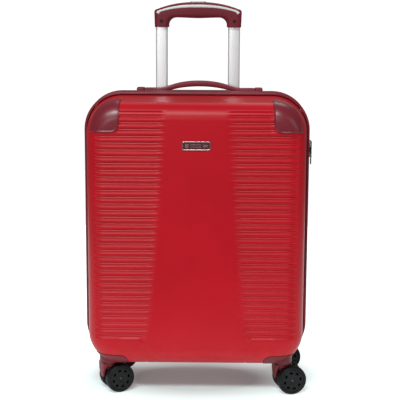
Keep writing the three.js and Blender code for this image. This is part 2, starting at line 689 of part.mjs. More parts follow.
function lockDial(i) {
  const half = DIAL_THICKNESS / 2;
  const z = dialHeight(i);
  const wheel = solid(post(DIAL_X, LOCK_Y, DIAL_RADIUS, z - half, z + half, PIN_STEPS));
  return wheel.subtract(solid(post(
    DIAL_X, LOCK_Y, DIAL_PIN_RADIUS + FIT, z - half - PAST, z + half + PAST, SMALL_PIN_STEPS)));
}

const TAB_X = ZIP_X + SLIDER_HEIGHT + TAB_THICKNESS;      // axis of a pull tab's pin

function sliderHeight(order) {
  return LOCK_Z + (order * SLIDER_SPACING) / 2;
}

// Zip slider with two ears and the pin that its pull tab hangs on.
function zipSlider(order) {
  const z = sliderHeight(order);
  const halfLength = SLIDER_LENGTH / 2;
  const shape = roundedRect(ZIP_X, ZIP_X + SLIDER_HEIGHT, z - halfLength, z + halfLength, SLIDER_CORNER);
  let body = solid(prism(shape, 'y', -SLIDER_WIDTH / 2, SLIDER_WIDTH / 2));
  const earInner = TAB_WIDTH / 2 + FIT;
  const pinZ = z - halfLength / 2;
  for (const end of [LEFT, RIGHT]) {
    const from = end < 0 ? -SLIDER_WIDTH / 2 : earInner;
    const to = end < 0 ? -earInner : SLIDER_WIDTH / 2;
    const ear = box(
      ZIP_X + PAST, TAB_X + TAB_THICKNESS, from, to, pinZ - TAB_THICKNESS, pinZ + TAB_THICKNESS);
    body = body.add(solid(ear));
  }
  return body.add(solid(pin(TAB_X, pinZ, TAB_PIN_RADIUS, -SLIDER_WIDTH / 2, SLIDER_WIDTH / 2,
    SMALL_PIN_STEPS)));
}

// Pull tab hanging on the slider's pin.
function pullTab(order) {
  const pinZ = sliderHeight(order) - SLIDER_LENGTH / 4;
  const half = TAB_THICKNESS / 2;
  const eye = TAB_THICKNESS - FIT;
  const plate = box(
    TAB_X - half, TAB_X + half, -TAB_WIDTH / 2, TAB_WIDTH / 2, pinZ - TAB_LENGTH, pinZ);
  const body = solid(plate).add(solid(pin(TAB_X, pinZ, eye, -TAB_WIDTH / 2, TAB_WIDTH / 2, PIN_STEPS)));
  return body.subtract(solid(pin(
    TAB_X, pinZ, TAB_PIN_RADIUS + FIT / 2, -TAB_WIDTH, TAB_WIDTH, SMALL_PIN_STEPS)));
}

const PANEL_Y = REAR_PANEL_DEPTH - LINING_THICKNESS;    // inner face of the rear lining's panel

// Half of the crossed elastic: from its two sewn ends to the buckle, lying on the lining.
function packingStrap(end) {
  const middle = (CASE_BOTTOM + CASE_TOP) / 2;
  const reach = CASE_HEIGHT / 2 - STRAP_END;
  const inner = BUCKLE_SIZE / 2 + FIT;
  const half = STRAP_WIDTH / 2;
  const shape = new THREE.Shape([
    [inner, middle - half], [STRAP_SPREAD - half, middle - reach], [STRAP_SPREAD + half, middle - reach],
    [inner + STRAP_WIDTH, middle], [STRAP_SPREAD + half, middle + reach],
    [STRAP_SPREAD - half, middle + reach], [inner, middle + half],
  ].map(([x, z]) => new THREE.Vector2(x, z)));
  const body = solid(prism(shape, 'y', PANEL_Y - FIT - STRAP_THICKNESS, PANEL_Y - FIT));
  return end < 0 ? body.mirror([1, 0, 0]) : body;
}

function strapBuckle() {
  const shape = centredRect(0, (CASE_BOTTOM + CASE_TOP) / 2, BUCKLE_SIZE, BUCKLE_SIZE, BUCKLE_CORNER);
  return prism(shape, 'y', PANEL_Y - FIT - BUCKLE_THICKNESS, PANEL_Y - FIT);
}

// ---- Casters, each drawn with its swivel axis on local Z and its axle along local Y ---------------------

// Blade between the wheels, turret under the housing and king pin, in one moulding.
function fork() {
  const top = WHEEL_DIAMETER + FIT + PAST;
  const boss = WHEEL_RADIUS / 3;
  const shape = new THREE.Shape();
  shape.moveTo(-TURRET_RADIUS, top);
  shape.lineTo(TRAIL - boss, WHEEL_RADIUS);
  shape.absarc(TRAIL, WHEEL_RADIUS, boss, Math.PI, 2 * Math.PI);
  shape.lineTo(TRAIL + boss / 2, top);
  const blade = solid(prism(shape, 'y', -FORK_BLADE / 2, FORK_BLADE / 2));
  const turret = solid(post(0, 0, TURRET_RADIUS, WHEEL_DIAMETER + 2 * FIT, HOUSING_Z - FIT));
  const kingPin = solid(post(
    0, 0, KING_PIN_RADIUS, HOUSING_Z - PAST, HOUSING_Z + KING_PIN_LENGTH - FIT, PIN_STEPS));
  const bore = solid(pin(TRAIL, WHEEL_RADIUS, AXLE_RADIUS + FIT, -FORK_BLADE, FORK_BLADE, PIN_STEPS));
  return blade.add(turret).add(kingPin).subtract(bore);
}

function axle() {
  const half = WHEEL_OFFSET + WHEEL_WIDTH / 2 - HUB_RECESS;
  return pin(TRAIL, WHEEL_RADIUS, AXLE_RADIUS, -half, half, PIN_STEPS);
}

// Wheel profile turned about its axle; a facet, not a corner, meets the floor.
function wheel(end) {
  const half = WHEEL_WIDTH / 2;
  const rim = WHEEL_RADIUS / Math.cos(Math.PI / WHEEL_FACETS);
  const bore = AXLE_RADIUS + FIT;
  const hub = WHEEL_RADIUS - TYRE_HEIGHT;
  const outer = [[bore, HUB_RECESS], [hub, HUB_RECESS], [rim - TYRE_CHAMFER, 0], [rim, TYRE_CHAMFER]];
  const low = outer.map(([radius, inset]) => new THREE.Vector2(radius, inset - half));
  const high = outer.map(([radius, inset]) => new THREE.Vector2(radius, half - inset)).reverse();
  const profile = [...low, ...high, low[0]];
  const geometry = new THREE.LatheGeometry(profile, WHEEL_FACETS, Math.PI / WHEEL_FACETS);
  return geometry.translate(TRAIL, end * WHEEL_OFFSET, WHEEL_RADIUS);
}

// ---- Assembly -------------------------------------------------------------------------------------------

const suitcase = new THREE.Group();

function place(name, piece, material, parent = suitcase) {
  const geometry = piece.isBufferGeometry ? piece : geometryOf(piece);
  const mesh = new THREE.Mesh(geometry, material);
  mesh.name = name;
  parent.add(mesh);
}

const SIDES = [['front', FRONT], ['rear', REAR]];
const ENDS = [['left', LEFT], ['right', RIGHT]];

for (const [half, side] of SIDES) {
  place(`${half}_shell`, shellOf(side), SHELL_RED);
  place(`${half}_lining`, liningOf(side), LINING_GREY);
  place(`${half}_edge_trim`, trimOf(side), MAROON);
  place(`${half}_zip_tape`, zipTapeOf(side), ZIP_BLACK);
  for (const [hand, end] of ENDS) {
    place(`${half}_corner_guard_${hand}`, cornerGuard(side, end), MAROON);
    place(`${half}_caster_housing_${hand}`, casterHousing(side, end), MAROON);
  }
}

place('badge_frame', badgeFrame(), BADGE_METAL);
place('badge_plate', badgePlate(), BADGE_DARK);

place('handle_bezel', handleBezel(), BLACK_PLASTIC);
place('tube_foot', tubeFoot(), BLACK_PLASTIC);
for (const [hand, end] of ENDS) {
  const midBottom = FOOT_TOP + FOOT_PLUG + FIT;
  const innerTop = GRIP_BOTTOM + GRIP_SOCKET;
  place(`outer_tube_${hand}`, tube(end, 2, FOOT_TOP + FIT, NECK_BOTTOM - FIT), ALUMINIUM);
  place(`mid_tube_${hand}`, tube(end, 1, midBottom, BEZEL_TOP - MID_TUBE_DROP), ALUMINIUM);
  place(`inner_tube_${hand}`, tube(end, 0, innerTop - INNER_TUBE_LENGTH, innerTop), ALUMINIUM);
}
place('grip', grip(), MAROON);
place('grip_inlay', gripInlay(), INLAY_GREY);
place('grip_button', gripButton(), INLAY_GREY);

place('carry_handle', carryHandle(), MAROON);
place('lock_body', lockBody(), BLACK_PLASTIC);
place('lock_button', lockButton(), STEEL);
for (let i = 0; i < DIAL_COUNT; i += 1) {
  place(`lock_dial_${i + 1}`, lockDial(i), STEEL);
}
for (const [name, order] of [['upper', 1], ['lower', -1]]) {
  place(`zip_slider_${name}`, zipSlider(order), STEEL);
  place(`pull_tab_${name}`, pullTab(order), BLACK_PLASTIC);
}
for (const [hand, end] of ENDS) {
  place(`carry_cap_${hand}`, carryCap(end), MAROON);
  place(`packing_strap_${hand}`, packingStrap(end), ZIP_BLACK);
}
place('strap_buckle', strapBuckle(), BLACK_PLASTIC);

// Degrees that each caster stands turned by, as the case was rolled to its place.
const CASTERS = [
  ['front', FRONT, 'left', LEFT, 27],
  ['front', FRONT, 'right', RIGHT, 14],
  ['rear', REAR, 'left', LEFT, 20],
  ['rear', REAR, 'right', RIGHT, 10],
];
for (const [half, side, hand, end, turn] of CASTERS) {
  const caster = new THREE.Group();
  caster.position.set(end * SWIVEL_X, side * SWIVEL_Y, 0);
  caster.rotation.z = THREE.MathUtils.degToRad(turn);
  suitcase.add(caster);
  place(`${half}_${hand}_fork`, fork(), MAROON, caster);
  place(`${half}_${hand}_axle`, axle(), STEEL, caster);
  place(`${half}_${hand}_wheel_a`, wheel(LEFT), WHEEL_BLACK, caster);
  place(`${half}_${hand}_wheel_b`, wheel(RIGHT), WHEEL_BLACK, caster);
}

export default suitcase;
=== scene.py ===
import json
import math

import bmesh
import bpy
import numpy as np
from mathutils import Matrix, Vector


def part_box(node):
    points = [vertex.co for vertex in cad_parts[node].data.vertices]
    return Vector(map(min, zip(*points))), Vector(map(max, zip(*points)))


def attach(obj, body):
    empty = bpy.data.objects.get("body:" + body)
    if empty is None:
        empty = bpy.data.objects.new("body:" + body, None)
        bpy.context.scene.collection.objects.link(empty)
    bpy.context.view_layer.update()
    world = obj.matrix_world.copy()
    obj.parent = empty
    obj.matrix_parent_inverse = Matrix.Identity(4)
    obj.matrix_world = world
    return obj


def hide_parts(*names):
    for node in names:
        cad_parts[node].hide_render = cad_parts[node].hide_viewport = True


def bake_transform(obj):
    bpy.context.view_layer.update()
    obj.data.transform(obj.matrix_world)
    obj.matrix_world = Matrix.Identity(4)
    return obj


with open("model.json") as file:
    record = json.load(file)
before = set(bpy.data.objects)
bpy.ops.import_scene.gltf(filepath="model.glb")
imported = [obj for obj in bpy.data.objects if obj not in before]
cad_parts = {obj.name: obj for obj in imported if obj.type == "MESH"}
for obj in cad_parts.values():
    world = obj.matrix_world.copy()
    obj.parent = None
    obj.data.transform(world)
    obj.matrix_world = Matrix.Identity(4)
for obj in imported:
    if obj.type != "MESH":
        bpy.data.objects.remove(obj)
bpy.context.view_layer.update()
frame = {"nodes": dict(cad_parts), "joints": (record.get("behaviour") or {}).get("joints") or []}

# Hard shell cabin suitcase: two ribbed half shells joined by a zip, soft maroon edge bands, corner guards
# and pull handle, four twin-wheel casters. Pieces are worked out in millimetres and stored in metres.

MM = 0.001
FRONT, REAR, LEFT, RIGHT = -1, 1, -1, 1
SIDES = (("front", FRONT), ("rear", REAR))
HANDS = (("left", LEFT), ("right", RIGHT))
WELD = 2e-6


def node_box(node):
    """Lowest and highest corner of a CAD node, in millimetres."""
    low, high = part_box(node)
    return np.array(low) / MM, np.array(high) / MM


TRIM_LOW, TRIM_HIGH = node_box("rear_edge_trim")
HALF_WIDTH = TRIM_HIGH[0]
CASE_BOTTOM, CASE_TOP = TRIM_LOW[2], TRIM_HIGH[2]
MIDDLE = (CASE_BOTTOM + CASE_TOP) / 2
RIM, TRIM_REACH = TRIM_LOW[1], TRIM_HIGH[1]
FACE = node_box("rear_shell")[1][1]
CORNER = 67.0
FACE_FILLET = 30.0
SHELL_WALL = 2.6
DRAFT = math.atan(5 / (FACE - FACE_FILLET - RIM))
REACH_X = HALF_WIDTH - CORNER
REACH_Z = (CASE_TOP - CASE_BOTTOM) / 2 - CORNER
FLAT = 26.85                      # corner arc centre to the start of the face fillet


# ---- Mesh making ---------------------------------------------------------------------------------------


def smoothstep(low, high, x):
    """0 below low, 1 above high, with a cubic ease between."""
    t = np.clip((x - low) / (high - low), 0, 1)
    return t * t * (3 - 2 * t)


def grid_quads(rows, cols, start):
    """Quads of a sheet of rows by cols points that are numbered row by row from start."""
    i = np.arange(rows * cols).reshape(rows, cols) + start
    return np.stack([i[:-1, :-1], i[:-1, 1:], i[1:, 1:], i[1:, :-1]], -1).reshape(-1, 4)


def mesh_of(name, sheets, uvs=None, sharp=38):
    """Joins sheets of points (rows, columns, xyz in millimetres) into one mesh: doubles are merged, so the
    sheets close each other, and faces are turned outwards."""
    points = np.concatenate([s.reshape(-1, 3) for s in sheets]) * MM
    quads, start = [], 0
    for s in sheets:
        quads.append(grid_quads(s.shape[0], s.shape[1], start))
        start += s.shape[0] * s.shape[1]
    quads = np.concatenate(quads).astype(np.int32)
    mesh = bpy.data.meshes.new(name)
    mesh.vertices.add(len(points))
    mesh.vertices.foreach_set("co", points.astype(np.float32).ravel())
    mesh.loops.add(quads.size)
    mesh.loops.foreach_set("vertex_index", quads.ravel())
    mesh.polygons.add(len(quads))
    mesh.polygons.foreach_set("loop_start", np.arange(0, quads.size, 4, dtype=np.int32))
    mesh.update(calc_edges=True)
    if uvs is not None:
        flat = np.concatenate([u.reshape(-1, 2) for u in uvs])
        layer = mesh.uv_layers.new(name="UVMap")
        layer.data.foreach_set("uv", flat[quads.ravel()].astype(np.float32).ravel())
    tidy(mesh, sharp)
    return mesh


def tidy(mesh, sharp):
    """Merges doubles, drops faces without area, turns faces outwards and sets smooth shading."""
    work = bmesh.new()
    work.from_mesh(mesh)
    bmesh.ops.remove_doubles(work, verts=work.verts, dist=WELD)
    bmesh.ops.dissolve_degenerate(work, edges=work.edges, dist=WELD)
    bmesh.ops.recalc_face_normals(work, faces=work.faces)
    work.to_mesh(mesh)
    work.free()
    shade(mesh, sharp)


def shade(mesh, sharp):
    """Smooth shading with edges sharp past an angle in degrees."""
    mesh.polygons.foreach_set("use_smooth", np.ones(len(mesh.polygons), bool))
    mesh.set_sharp_from_angle(angle=math.radians(sharp))
    mesh.update()


def thing(name, data):
    """New object in the scene that holds a mesh, a light or a camera."""
    made = bpy.data.objects.new(name, data)
    bpy.context.scene.collection.objects.link(made)
    return made


def solid(name, sheets):
    """Object made straight from sheets, mostly one to cut or join with."""
    return thing(name, mesh_of(name, sheets))


def settle(made, material, body, replaces=()):
    """Gives a finished piece its material, the body it moves with and the nodes it stands for."""
    made.data.materials.clear()
    made.data.materials.append(material)
    if body:
        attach(made, body)
    if replaces:
        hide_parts(*replaces)
    return made


def piece(name, sheets, material, body, replaces=(), uvs=None, sharp=38):
    return settle(thing(name, mesh_of(name, sheets, uvs, sharp)), material, body, replaces)


def carve(made, cutters, operation="DIFFERENCE", sharp=38):
    """Cuts a closed piece with closed solids, one after another, and keeps the result as its mesh."""
    for cutter in cutters:
        step = made.modifiers.new("cut", "BOOLEAN")
        step.operation = operation
        step.solver = "MANIFOLD"
        step.object = cutter
    bpy.context.view_layer.update()
    result = bpy.data.meshes.new_from_object(made.evaluated_get(bpy.context.evaluated_depsgraph_get()))
    made.modifiers.clear()
    made.data = result
    for cutter in cutters:
        bpy.data.objects.remove(cutter)
    shade(result, sharp)
    return made


def round_rect(width, height, radius, steps=6):
    """Closed loop of a rounded rectangle about the origin: four quarter arcs joined by straight sides."""
    quarter = np.linspace(0, np.pi / 2, steps + 1)
    loops = []
    for k, (sx, sy) in enumerate(((1, 1), (-1, 1), (-1, -1), (1, -1))):
        a = quarter + k * np.pi / 2
        loops.append(np.stack([sx * (width / 2 - radius) + radius * np.cos(a),
                               sy * (height / 2 - radius) + radius * np.sin(a)], -1))
    loop = np.concatenate(loops)
    return np.concatenate([loop, loop[:1]])


def circle(radius, steps=32):
    """Closed circle about the origin."""
    a = np.linspace(0, 2 * np.pi, steps + 1)
    return radius * np.stack([np.cos(a), np.sin(a)], -1)


def oval(width, height, power=4.0, steps=40):
    """Closed superellipse: cosine and sine raised to 2 over the power, keeping their signs."""
    a = np.linspace(0, 2 * np.pi, steps + 1)
    c, s = np.cos(a), np.sin(a)
    return np.stack([np.sign(c) * np.abs(c) ** (2 / power) * width / 2,
                     np.sign(s) * np.abs(s) ** (2 / power) * height / 2], -1)


def loop_normals(loop):
    """Outward unit normals of a closed anticlockwise loop whose last point repeats the first."""
    open_loop = loop[:-1]
    along = np.roll(open_loop, -1, 0) - np.roll(open_loop, 1, 0)
    along /= np.maximum(np.linalg.norm(along, axis=1, keepdims=True), 1e-9)
    out = np.stack([along[:, 1], -along[:, 0]], -1)
    return np.concatenate([out, out[:1]])


AXES = {"x": (1, 2, 0), "y": (0, 2, 1), "z": (0, 1, 2)}


def place(loop, level, axis):
    """A 2-D loop set on the plane where one coordinate is level: (y, z), (x, z) or (x, y) for x, y or z."""
    out = np.zeros((len(loop), 3))
    a, b, c = AXES[axis]
    out[:, a], out[:, b], out[:, c] = loop[:, 0], loop[:, 1], level
    return out


def cap(ring):
    """Sheet that closes a ring with a fan about its middle."""
    middle = ring[:-1].mean(0)
    return np.stack([ring, np.broadcast_to(middle, ring.shape)])


def slab(loop, low, high, axis, bevel=0.0, steps=3, low_bevel=None):
    """A loop carried along an axis, its two edges rounded by a quarter circle of radius bevel."""
    normals = loop_normals(loop)
    low_bevel = bevel if low_bevel is None else low_bevel
    rows = []
    for size, level, way in ((low_bevel, low, 1), (bevel, high, -1)):
        angles = np.linspace(0, np.pi / 2, steps + 1) if size > 0 else np.array([np.pi / 2])
        part = [place(loop - normals * size * (1 - np.sin(a)), level + way * size * (1 - np.cos(a)), axis)
                for a in angles]
        rows += part if way > 0 else part[::-1]
    rows = np.stack(rows)
    return [rows, cap(rows[0]), cap(rows[-1])]


def running_length(line):
    """Length along a line of points from its first point to each of them."""
    return np.concatenate([[0], np.cumsum(np.linalg.norm(np.diff(line, axis=0), axis=1))])


def shifted(loop, x, y):
    return loop + np.array([x, y])


def turned(profile, centre, axle, steps=48):
    """Profile of (radius, along) points turned once about an axle through a centre."""
    axle = np.array(axle, float) / np.linalg.norm(axle)
    side = np.cross(axle, (0, 0, 1)) if abs(axle[2]) < 0.9 else np.array((1.0, 0, 0))
    side /= np.linalg.norm(side)
    other = np.cross(axle, side)
    a = np.linspace(0, 2 * np.pi, steps + 1)
    spoke = np.cos(a)[:, None] * side + np.sin(a)[:, None] * other
    profile = np.array(profile, float)
    return np.array(centre) + profile[:, None, :1] * spoke[None] + profile[:, None, 1:] * axle


def rounded_corner(points, radius, steps=4):
    """Polyline whose inner corners are replaced with quadratic arcs that start radius away from them."""
    points = np.array(points, float)
    out = [points[0]]
    for before, here, after in zip(points[:-2], points[1:-1], points[2:]):
        a, b = before - here, after - here
        a *= min(radius, np.linalg.norm(a) / 2) / np.linalg.norm(a)
        b *= min(radius, np.linalg.norm(b) / 2) / np.linalg.norm(b)
        for t in np.linspace(0, 1, steps + 1):
            out.append(here + a * (1 - t) ** 2 + b * t ** 2)
    out.append(points[-1])
    return np.array(out)


def wander(x, y, z, size, seed):
    """Smooth made-up unevenness between -1 and 1: three crossed sine waves of about one wavelength."""
    k = 2 * np.pi / size
    return (np.sin(k * (x + 0.4 * z) + seed) + np.sin(k * (0.8 * y - 0.7 * x) + 2.3 * seed)
            + np.sin(k * (0.9 * z + 0.3 * y) + 4.1 * seed)) / 3


# ---- Materials -----------------------------------------------------------------------------------------


def linear(r, g, b):
    """Screen colour from 0 to 255 as the linear colour that Blender works in."""
    c = np.array([r, g, b]) / 255
    return (*np.where(c <= 0.04045, c / 12.92, ((c + 0.055) / 1.055) ** 2.4).tolist(), 1.0)


def feed(tree, socket, value):
    """Links a socket to another node's output, or sets it to a plain value."""
    if isinstance(value, bpy.types.NodeSocket):
        tree.links.new(value, socket)
    else:
        socket.default_value = value


def node(tree, kind, inputs=None, **settings):
    made = tree.nodes.new(kind)
    for key, value in settings.items():
        setattr(made, key, value)
    for key, value in (inputs or {}).items():
        feed(tree, made.inputs[key], value)
    return made


def new_group(name, inputs, outputs):
    """Empty shader node group with named number, vector or colour sockets, and its two ends."""
    tree = bpy.data.node_groups.new(name, "ShaderNodeTree")
    for way, sockets in (("INPUT", inputs), ("OUTPUT", outputs)):
        for title, (kind, default) in sockets.items():
            socket = tree.interface.new_socket(name=title, in_out=way, socket_type="NodeSocket" + kind)
            if default is not None:
                socket.default_value = default
    return tree, tree.nodes.new("NodeGroupInput").outputs, tree.nodes.new("NodeGroupOutput").inputs


def maths(tree, operation, a, b=0.0, clamp=False):
    made = node(tree, "ShaderNodeMath", operation=operation, use_clamp=clamp)
    for socket, value in zip(made.inputs, (a, b)):
        feed(tree, socket, value)
    return made.outputs[0]


def make_grain_group():
    """Moulded surface: fine spark-eroded grain as height, faint cloudiness and rub marks as masks."""
    tree, i, o = new_group("moulded_grain", {"Vector": ("Vector", None), "Grain": ("Float", 900.0)},
                           {"Height": ("Float", None), "Cloud": ("Float", None), "Rub": ("Float", None)})
    grain = node(tree, "ShaderNodeTexNoise", {"Vector": i["Vector"], "Scale": i["Grain"], "Detail": 2.0,
                                              "Roughness": 0.6})
    cloud = node(tree, "ShaderNodeTexNoise", {"Vector": i["Vector"], "Scale": 9.0, "Detail": 3.0})
    stretch = node(tree, "ShaderNodeMapping", {"Vector": i["Vector"], "Scale": (14.0, 14.0, 60.0),
                                               "Rotation": (0.3, 0.2, 0.5)})
    rub = node(tree, "ShaderNodeTexNoise", {"Vector": stretch.outputs[0], "Scale": 3.0, "Detail": 4.0,
                                            "Roughness": 0.65})
    marks = node(tree, "ShaderNodeMapRange", {"Value": rub.outputs[0], "From Min": 0.6, "From Max": 0.75})
    tree.links.new(grain.outputs[0], o["Height"])
    tree.links.new(cloud.outputs[0], o["Cloud"])
    tree.links.new(marks.outputs[0], o["Rub"])
    return tree


def make_dust_group():
    """Dust and scuffs: patches that gather low on the piece, as a mask."""
    tree, i, o = new_group("floor_dust", {"Vector": ("Vector", None), "Low": ("Float", 0.0),
                                          "High": ("Float", 0.12)}, {"Mask": ("Float", None)})
    height = node(tree, "ShaderNodeSeparateXYZ", {0: i["Vector"]}).outputs[2]
    fade = node(tree, "ShaderNodeMapRange", {"Value": height, "From Min": i["Low"], "From Max": i["High"],
                                             "To Min": 1.0, "To Max": 0.0})
    patch = node(tree, "ShaderNodeTexNoise", {"Vector": i["Vector"], "Scale": 60.0, "Detail": 5.0})
    spots = node(tree, "ShaderNodeMapRange", {"Value": patch.outputs[0], "From Min": 0.42,
                                              "From Max": 0.68})
    tree.links.new(maths(tree, "MULTIPLY", fade.outputs[0], spots.outputs[0]), o["Mask"])
    return tree


def make_weave_group():
    """Plain weave: two families of threads, each a sine ridge that passes over and under the other."""
    tree, i, o = new_group("plain_weave", {"Vector": ("Vector", None), "Threads": ("Float", 900.0)},
                           {"Height": ("Float", None), "Shade": ("Float", None)})
    scaled = node(tree, "ShaderNodeVectorMath", {0: i["Vector"], "Scale": i["Threads"]},
                  operation="SCALE")
    part = node(tree, "ShaderNodeSeparateXYZ", {0: scaled.outputs[0]})
    waves = [maths(tree, "SINE", part.outputs[k]) for k in (0, 1)]
    half = [maths(tree, "SINE", maths(tree, "MULTIPLY", part.outputs[k], 0.5)) for k in (0, 1)]
    over = maths(tree, "MULTIPLY", half[0], half[1])
    warp = maths(tree, "MULTIPLY", maths(tree, "ABSOLUTE", waves[0]), maths(tree, "GREATER_THAN", over))
    weft = maths(tree, "MULTIPLY", maths(tree, "ABSOLUTE", waves[1]), maths(tree, "LESS_THAN", over))
    height = maths(tree, "ADD", warp, weft)
    fuzz = node(tree, "ShaderNodeTexNoise", {"Vector": i["Vector"], "Scale": 700.0, "Detail": 2.0})
    # Shade output: thread height times fuzz, the mask of the painted highlight on the thread crowns
    shade_out = maths(tree, "MULTIPLY", height, fuzz.outputs[0])
    tree.links.new(height, o["Height"])
    tree.links.new(shade_out, o["Shade"])
    return tree


GRAIN, DUST, WEAVE = make_grain_group(), make_dust_group(), make_weave_group()


def blank(name, **sockets):
    """New material with a Principled shader; numbers that are the same all over go on its own sockets."""
    material = bpy.data.materials.new(name)
    material.use_nodes = True
    tree = material.node_tree
    shader = tree.nodes["Principled BSDF"]
    for key, value in sockets.items():
        shader.inputs[key.replace("_", " ")].default_value = value
    coords = tree.nodes.new("ShaderNodeTexCoord")
    return material, tree, shader, coords


def group(tree, which, **inputs):
    made = node(tree, "ShaderNodeGroup", node_tree=which)
    for key, value in inputs.items():
        feed(tree, made.inputs[key], value)
    return made.outputs


def blend_colour(tree, factor, a, b):
    made = node(tree, "ShaderNodeMix", data_type="RGBA")
    for socket, value in ((made.inputs[0], factor), (made.inputs[6], a), (made.inputs[7], b)):
        feed(tree, socket, value)
    return made.outputs[2]


def spread(tree, value, low, high, from_low=0.0, from_high=1.0):
    made = node(tree, "ShaderNodeMapRange", {"Value": value, "From Min": from_low, "From Max": from_high,
                                             "To Min": low, "To Max": high})
    return made.outputs[0]


def bump(tree, shader, height, distance, strength=1.0):
    made = node(tree, "ShaderNodeBump", {"Height": height, "Distance": distance, "Strength": strength})
    tree.links.new(made.outputs[0], shader.inputs["Normal"])


def moulded(name, colour, deep, rough, grain=900.0, depth=0.00003, dust=None, dust_colour=None,
            rough_span=0.1, **sockets):
    """Moulded plastic: two close colours clouded together, grain as bump, rub marks as smoother streaks."""
    material, tree, shader, coords = blank(name, **sockets)
    here = coords.outputs["Object"]
    g = group(tree, GRAIN, Vector=here, Grain=grain)
    base = blend_colour(tree, spread(tree, g["Cloud"], 0, 1, 0.35, 0.65), colour, deep)
    low_rough = spread(tree, g["Rub"], rough + rough_span / 2, rough - rough_span / 2)
    if dust:
        d = group(tree, DUST, Vector=here, Low=dust[0], High=dust[1])["Mask"]
        base = blend_colour(tree, maths(tree, "MULTIPLY", d, dust[2]), base, dust_colour)
        low_rough = maths(tree, "ADD", low_rough, maths(tree, "MULTIPLY", d, 0.2), clamp=True)
    tree.links.new(base, shader.inputs["Base Color"])
    tree.links.new(low_rough, shader.inputs["Roughness"])
    bump(tree, shader, g["Height"], depth)
    return material


def woven(name, colour, light, threads, depth, coordinate="UV", rough=0.85, **sockets):
    """Woven cloth: plain weave along the piece's own map, with a painted highlight on the crown of each
    thread and painted shade between the threads.
    """
    material, tree, shader, coords = blank(name, Roughness=rough, **sockets)
    g = group(tree, WEAVE, Vector=coords.outputs[coordinate], Threads=threads)
    cloud = node(tree, "ShaderNodeTexNoise", {"Vector": coords.outputs["Object"], "Scale": 14.0,
                                              "Detail": 3.0})
    # painted highlight: thread crowns mixed towards the lighter colour, the hollows between threads left
    # darker as painted shade
    painted_crown_highlight = blend_colour(tree, g["Shade"], colour, light)
    tree.links.new(blend_colour(tree, spread(tree, cloud.outputs[0], 0, 0.35, 0.4, 0.7), painted_crown_highlight, colour),
                   shader.inputs["Base Color"])
    tree.links.new(spread(tree, g["Height"], rough + 0.08, rough - 0.08), shader.inputs["Roughness"])
    bump(tree, shader, g["Height"], depth)
    return material


def metal(name, colour, deep, rough, stretch, depth=0.000004, **sockets):
    """Brushed metal: noise drawn out along the brushing, as roughness, colour and a very shallow bump."""
    material, tree, shader, coords = blank(name, **{"Metallic": 1.0, **sockets})
    drawn = node(tree, "ShaderNodeMapping", {"Vector": coords.outputs["Object"], "Scale": stretch})
    lines = node(tree, "ShaderNodeTexNoise", {"Vector": drawn.outputs[0], "Scale": 1.0, "Detail": 6.0,
                                              "Roughness": 0.7})
    tree.links.new(blend_colour(tree, lines.outputs[0], colour, deep), shader.inputs["Base Color"])
    tree.links.new(spread(tree, lines.outputs[0], rough - 0.08, rough + 0.12), shader.inputs["Roughness"])
    bump(tree, shader, lines.outputs[0], depth)
    return material


SHELL_RED = moulded("shell_red", linear(174, 13, 28), linear(167, 11, 25), 0.32, grain=1500.0,
                    depth=0.00002, dust=(0.04, 0.11, 0.07), dust_colour=linear(205, 140, 140),
                    Specular_IOR_Level=0.2)
TRIM_MAROON = moulded("trim_maroon", linear(118, 22, 36), linear(106, 18, 31), 0.4, grain=1100.0,
                      depth=0.00003, Specular_IOR_Level=0.3)
GUARD_MAROON = moulded("guard_maroon", linear(112, 24, 38), linear(101, 20, 33), 0.3, grain=1100.0,
                       depth=0.00002, Specular_IOR_Level=0.5)
HOUSING_MAROON = moulded("housing_maroon", linear(108, 20, 31), linear(96, 17, 27), 0.42, grain=1000.0,
                         depth=0.00003, dust=(0.0, 0.09, 0.15), dust_colour=linear(150, 96, 98),
                         Specular_IOR_Level=0.3)
GRIP_MAROON = moulded("grip_maroon", linear(104, 20, 34), linear(93, 17, 30), 0.42, grain=1300.0,
                      depth=0.00004, Specular_IOR_Level=0.3)
BLACK_PLASTIC = moulded("black_plastic", linear(24, 24, 25), linear(31, 31, 32), 0.5, depth=0.00003)
GRIP_GREY = moulded("grip_grey", linear(204, 204, 203), linear(188, 190, 188), 0.3, depth=0.00001)
TYRE_BLACK = moulded("tyre_black", linear(13, 14, 15), linear(9, 10, 11), 0.5, grain=800.0,
                     dust=(0.0, 0.05, 0.18), dust_colour=linear(70, 70, 70), Specular_IOR_Level=0.2)
HUB_BLACK = moulded("hub_black", linear(15, 16, 17), linear(11, 12, 13), 0.42, dust=(0.0, 0.06, 0.08),
                    dust_colour=linear(76, 76, 76), Specular_IOR_Level=0.2)
TUBE_METAL = metal("tube_aluminium", linear(246, 247, 247), linear(226, 228, 229), 0.34,
                   (900.0, 900.0, 6.0), Metallic=0.6)
STEEL = metal("satin_nickel", linear(196, 197, 199), linear(160, 161, 164), 0.28, (300.0, 300.0, 300.0))
AXLE_STEEL = metal("blackened_steel", linear(74, 75, 77), linear(56, 57, 59), 0.36,
                   (300.0, 300.0, 300.0))
BADGE_METAL = metal("badge_metal", linear(205, 168, 170), linear(170, 128, 132), 0.24,
                    (60.0, 500.0, 500.0))
BADGE_ENAMEL = moulded("badge_enamel", linear(74, 26, 32), linear(58, 20, 26), 0.22, grain=500.0,
                       depth=0.000005, Coat_Weight=0.6, Coat_Roughness=0.1)
# the second colour of each cloth is its painted highlight on the thread crowns
LINING_CLOTH = woven("lining_cloth", linear(66, 65, 70), linear(104, 103, 108), 2600.0, 0.00008,
                     Sheen_Weight=0.35, Sheen_Roughness=0.45)
ZIP_CLOTH = woven("zip_cloth", linear(48, 20, 24), linear(84, 40, 46), 5200.0, 0.00008,
                  Sheen_Weight=0.2)
WEBBING = woven("strap_webbing_cloth", linear(30, 30, 33), linear(70, 70, 75), 3600.0, 0.00015,
                Sheen_Weight=0.3)
COIL_BLACK = moulded("zip_coil", linear(38, 18, 21), linear(30, 14, 17), 0.38)


# ---- The case's outline and trays ----------------------------------------------------------------------


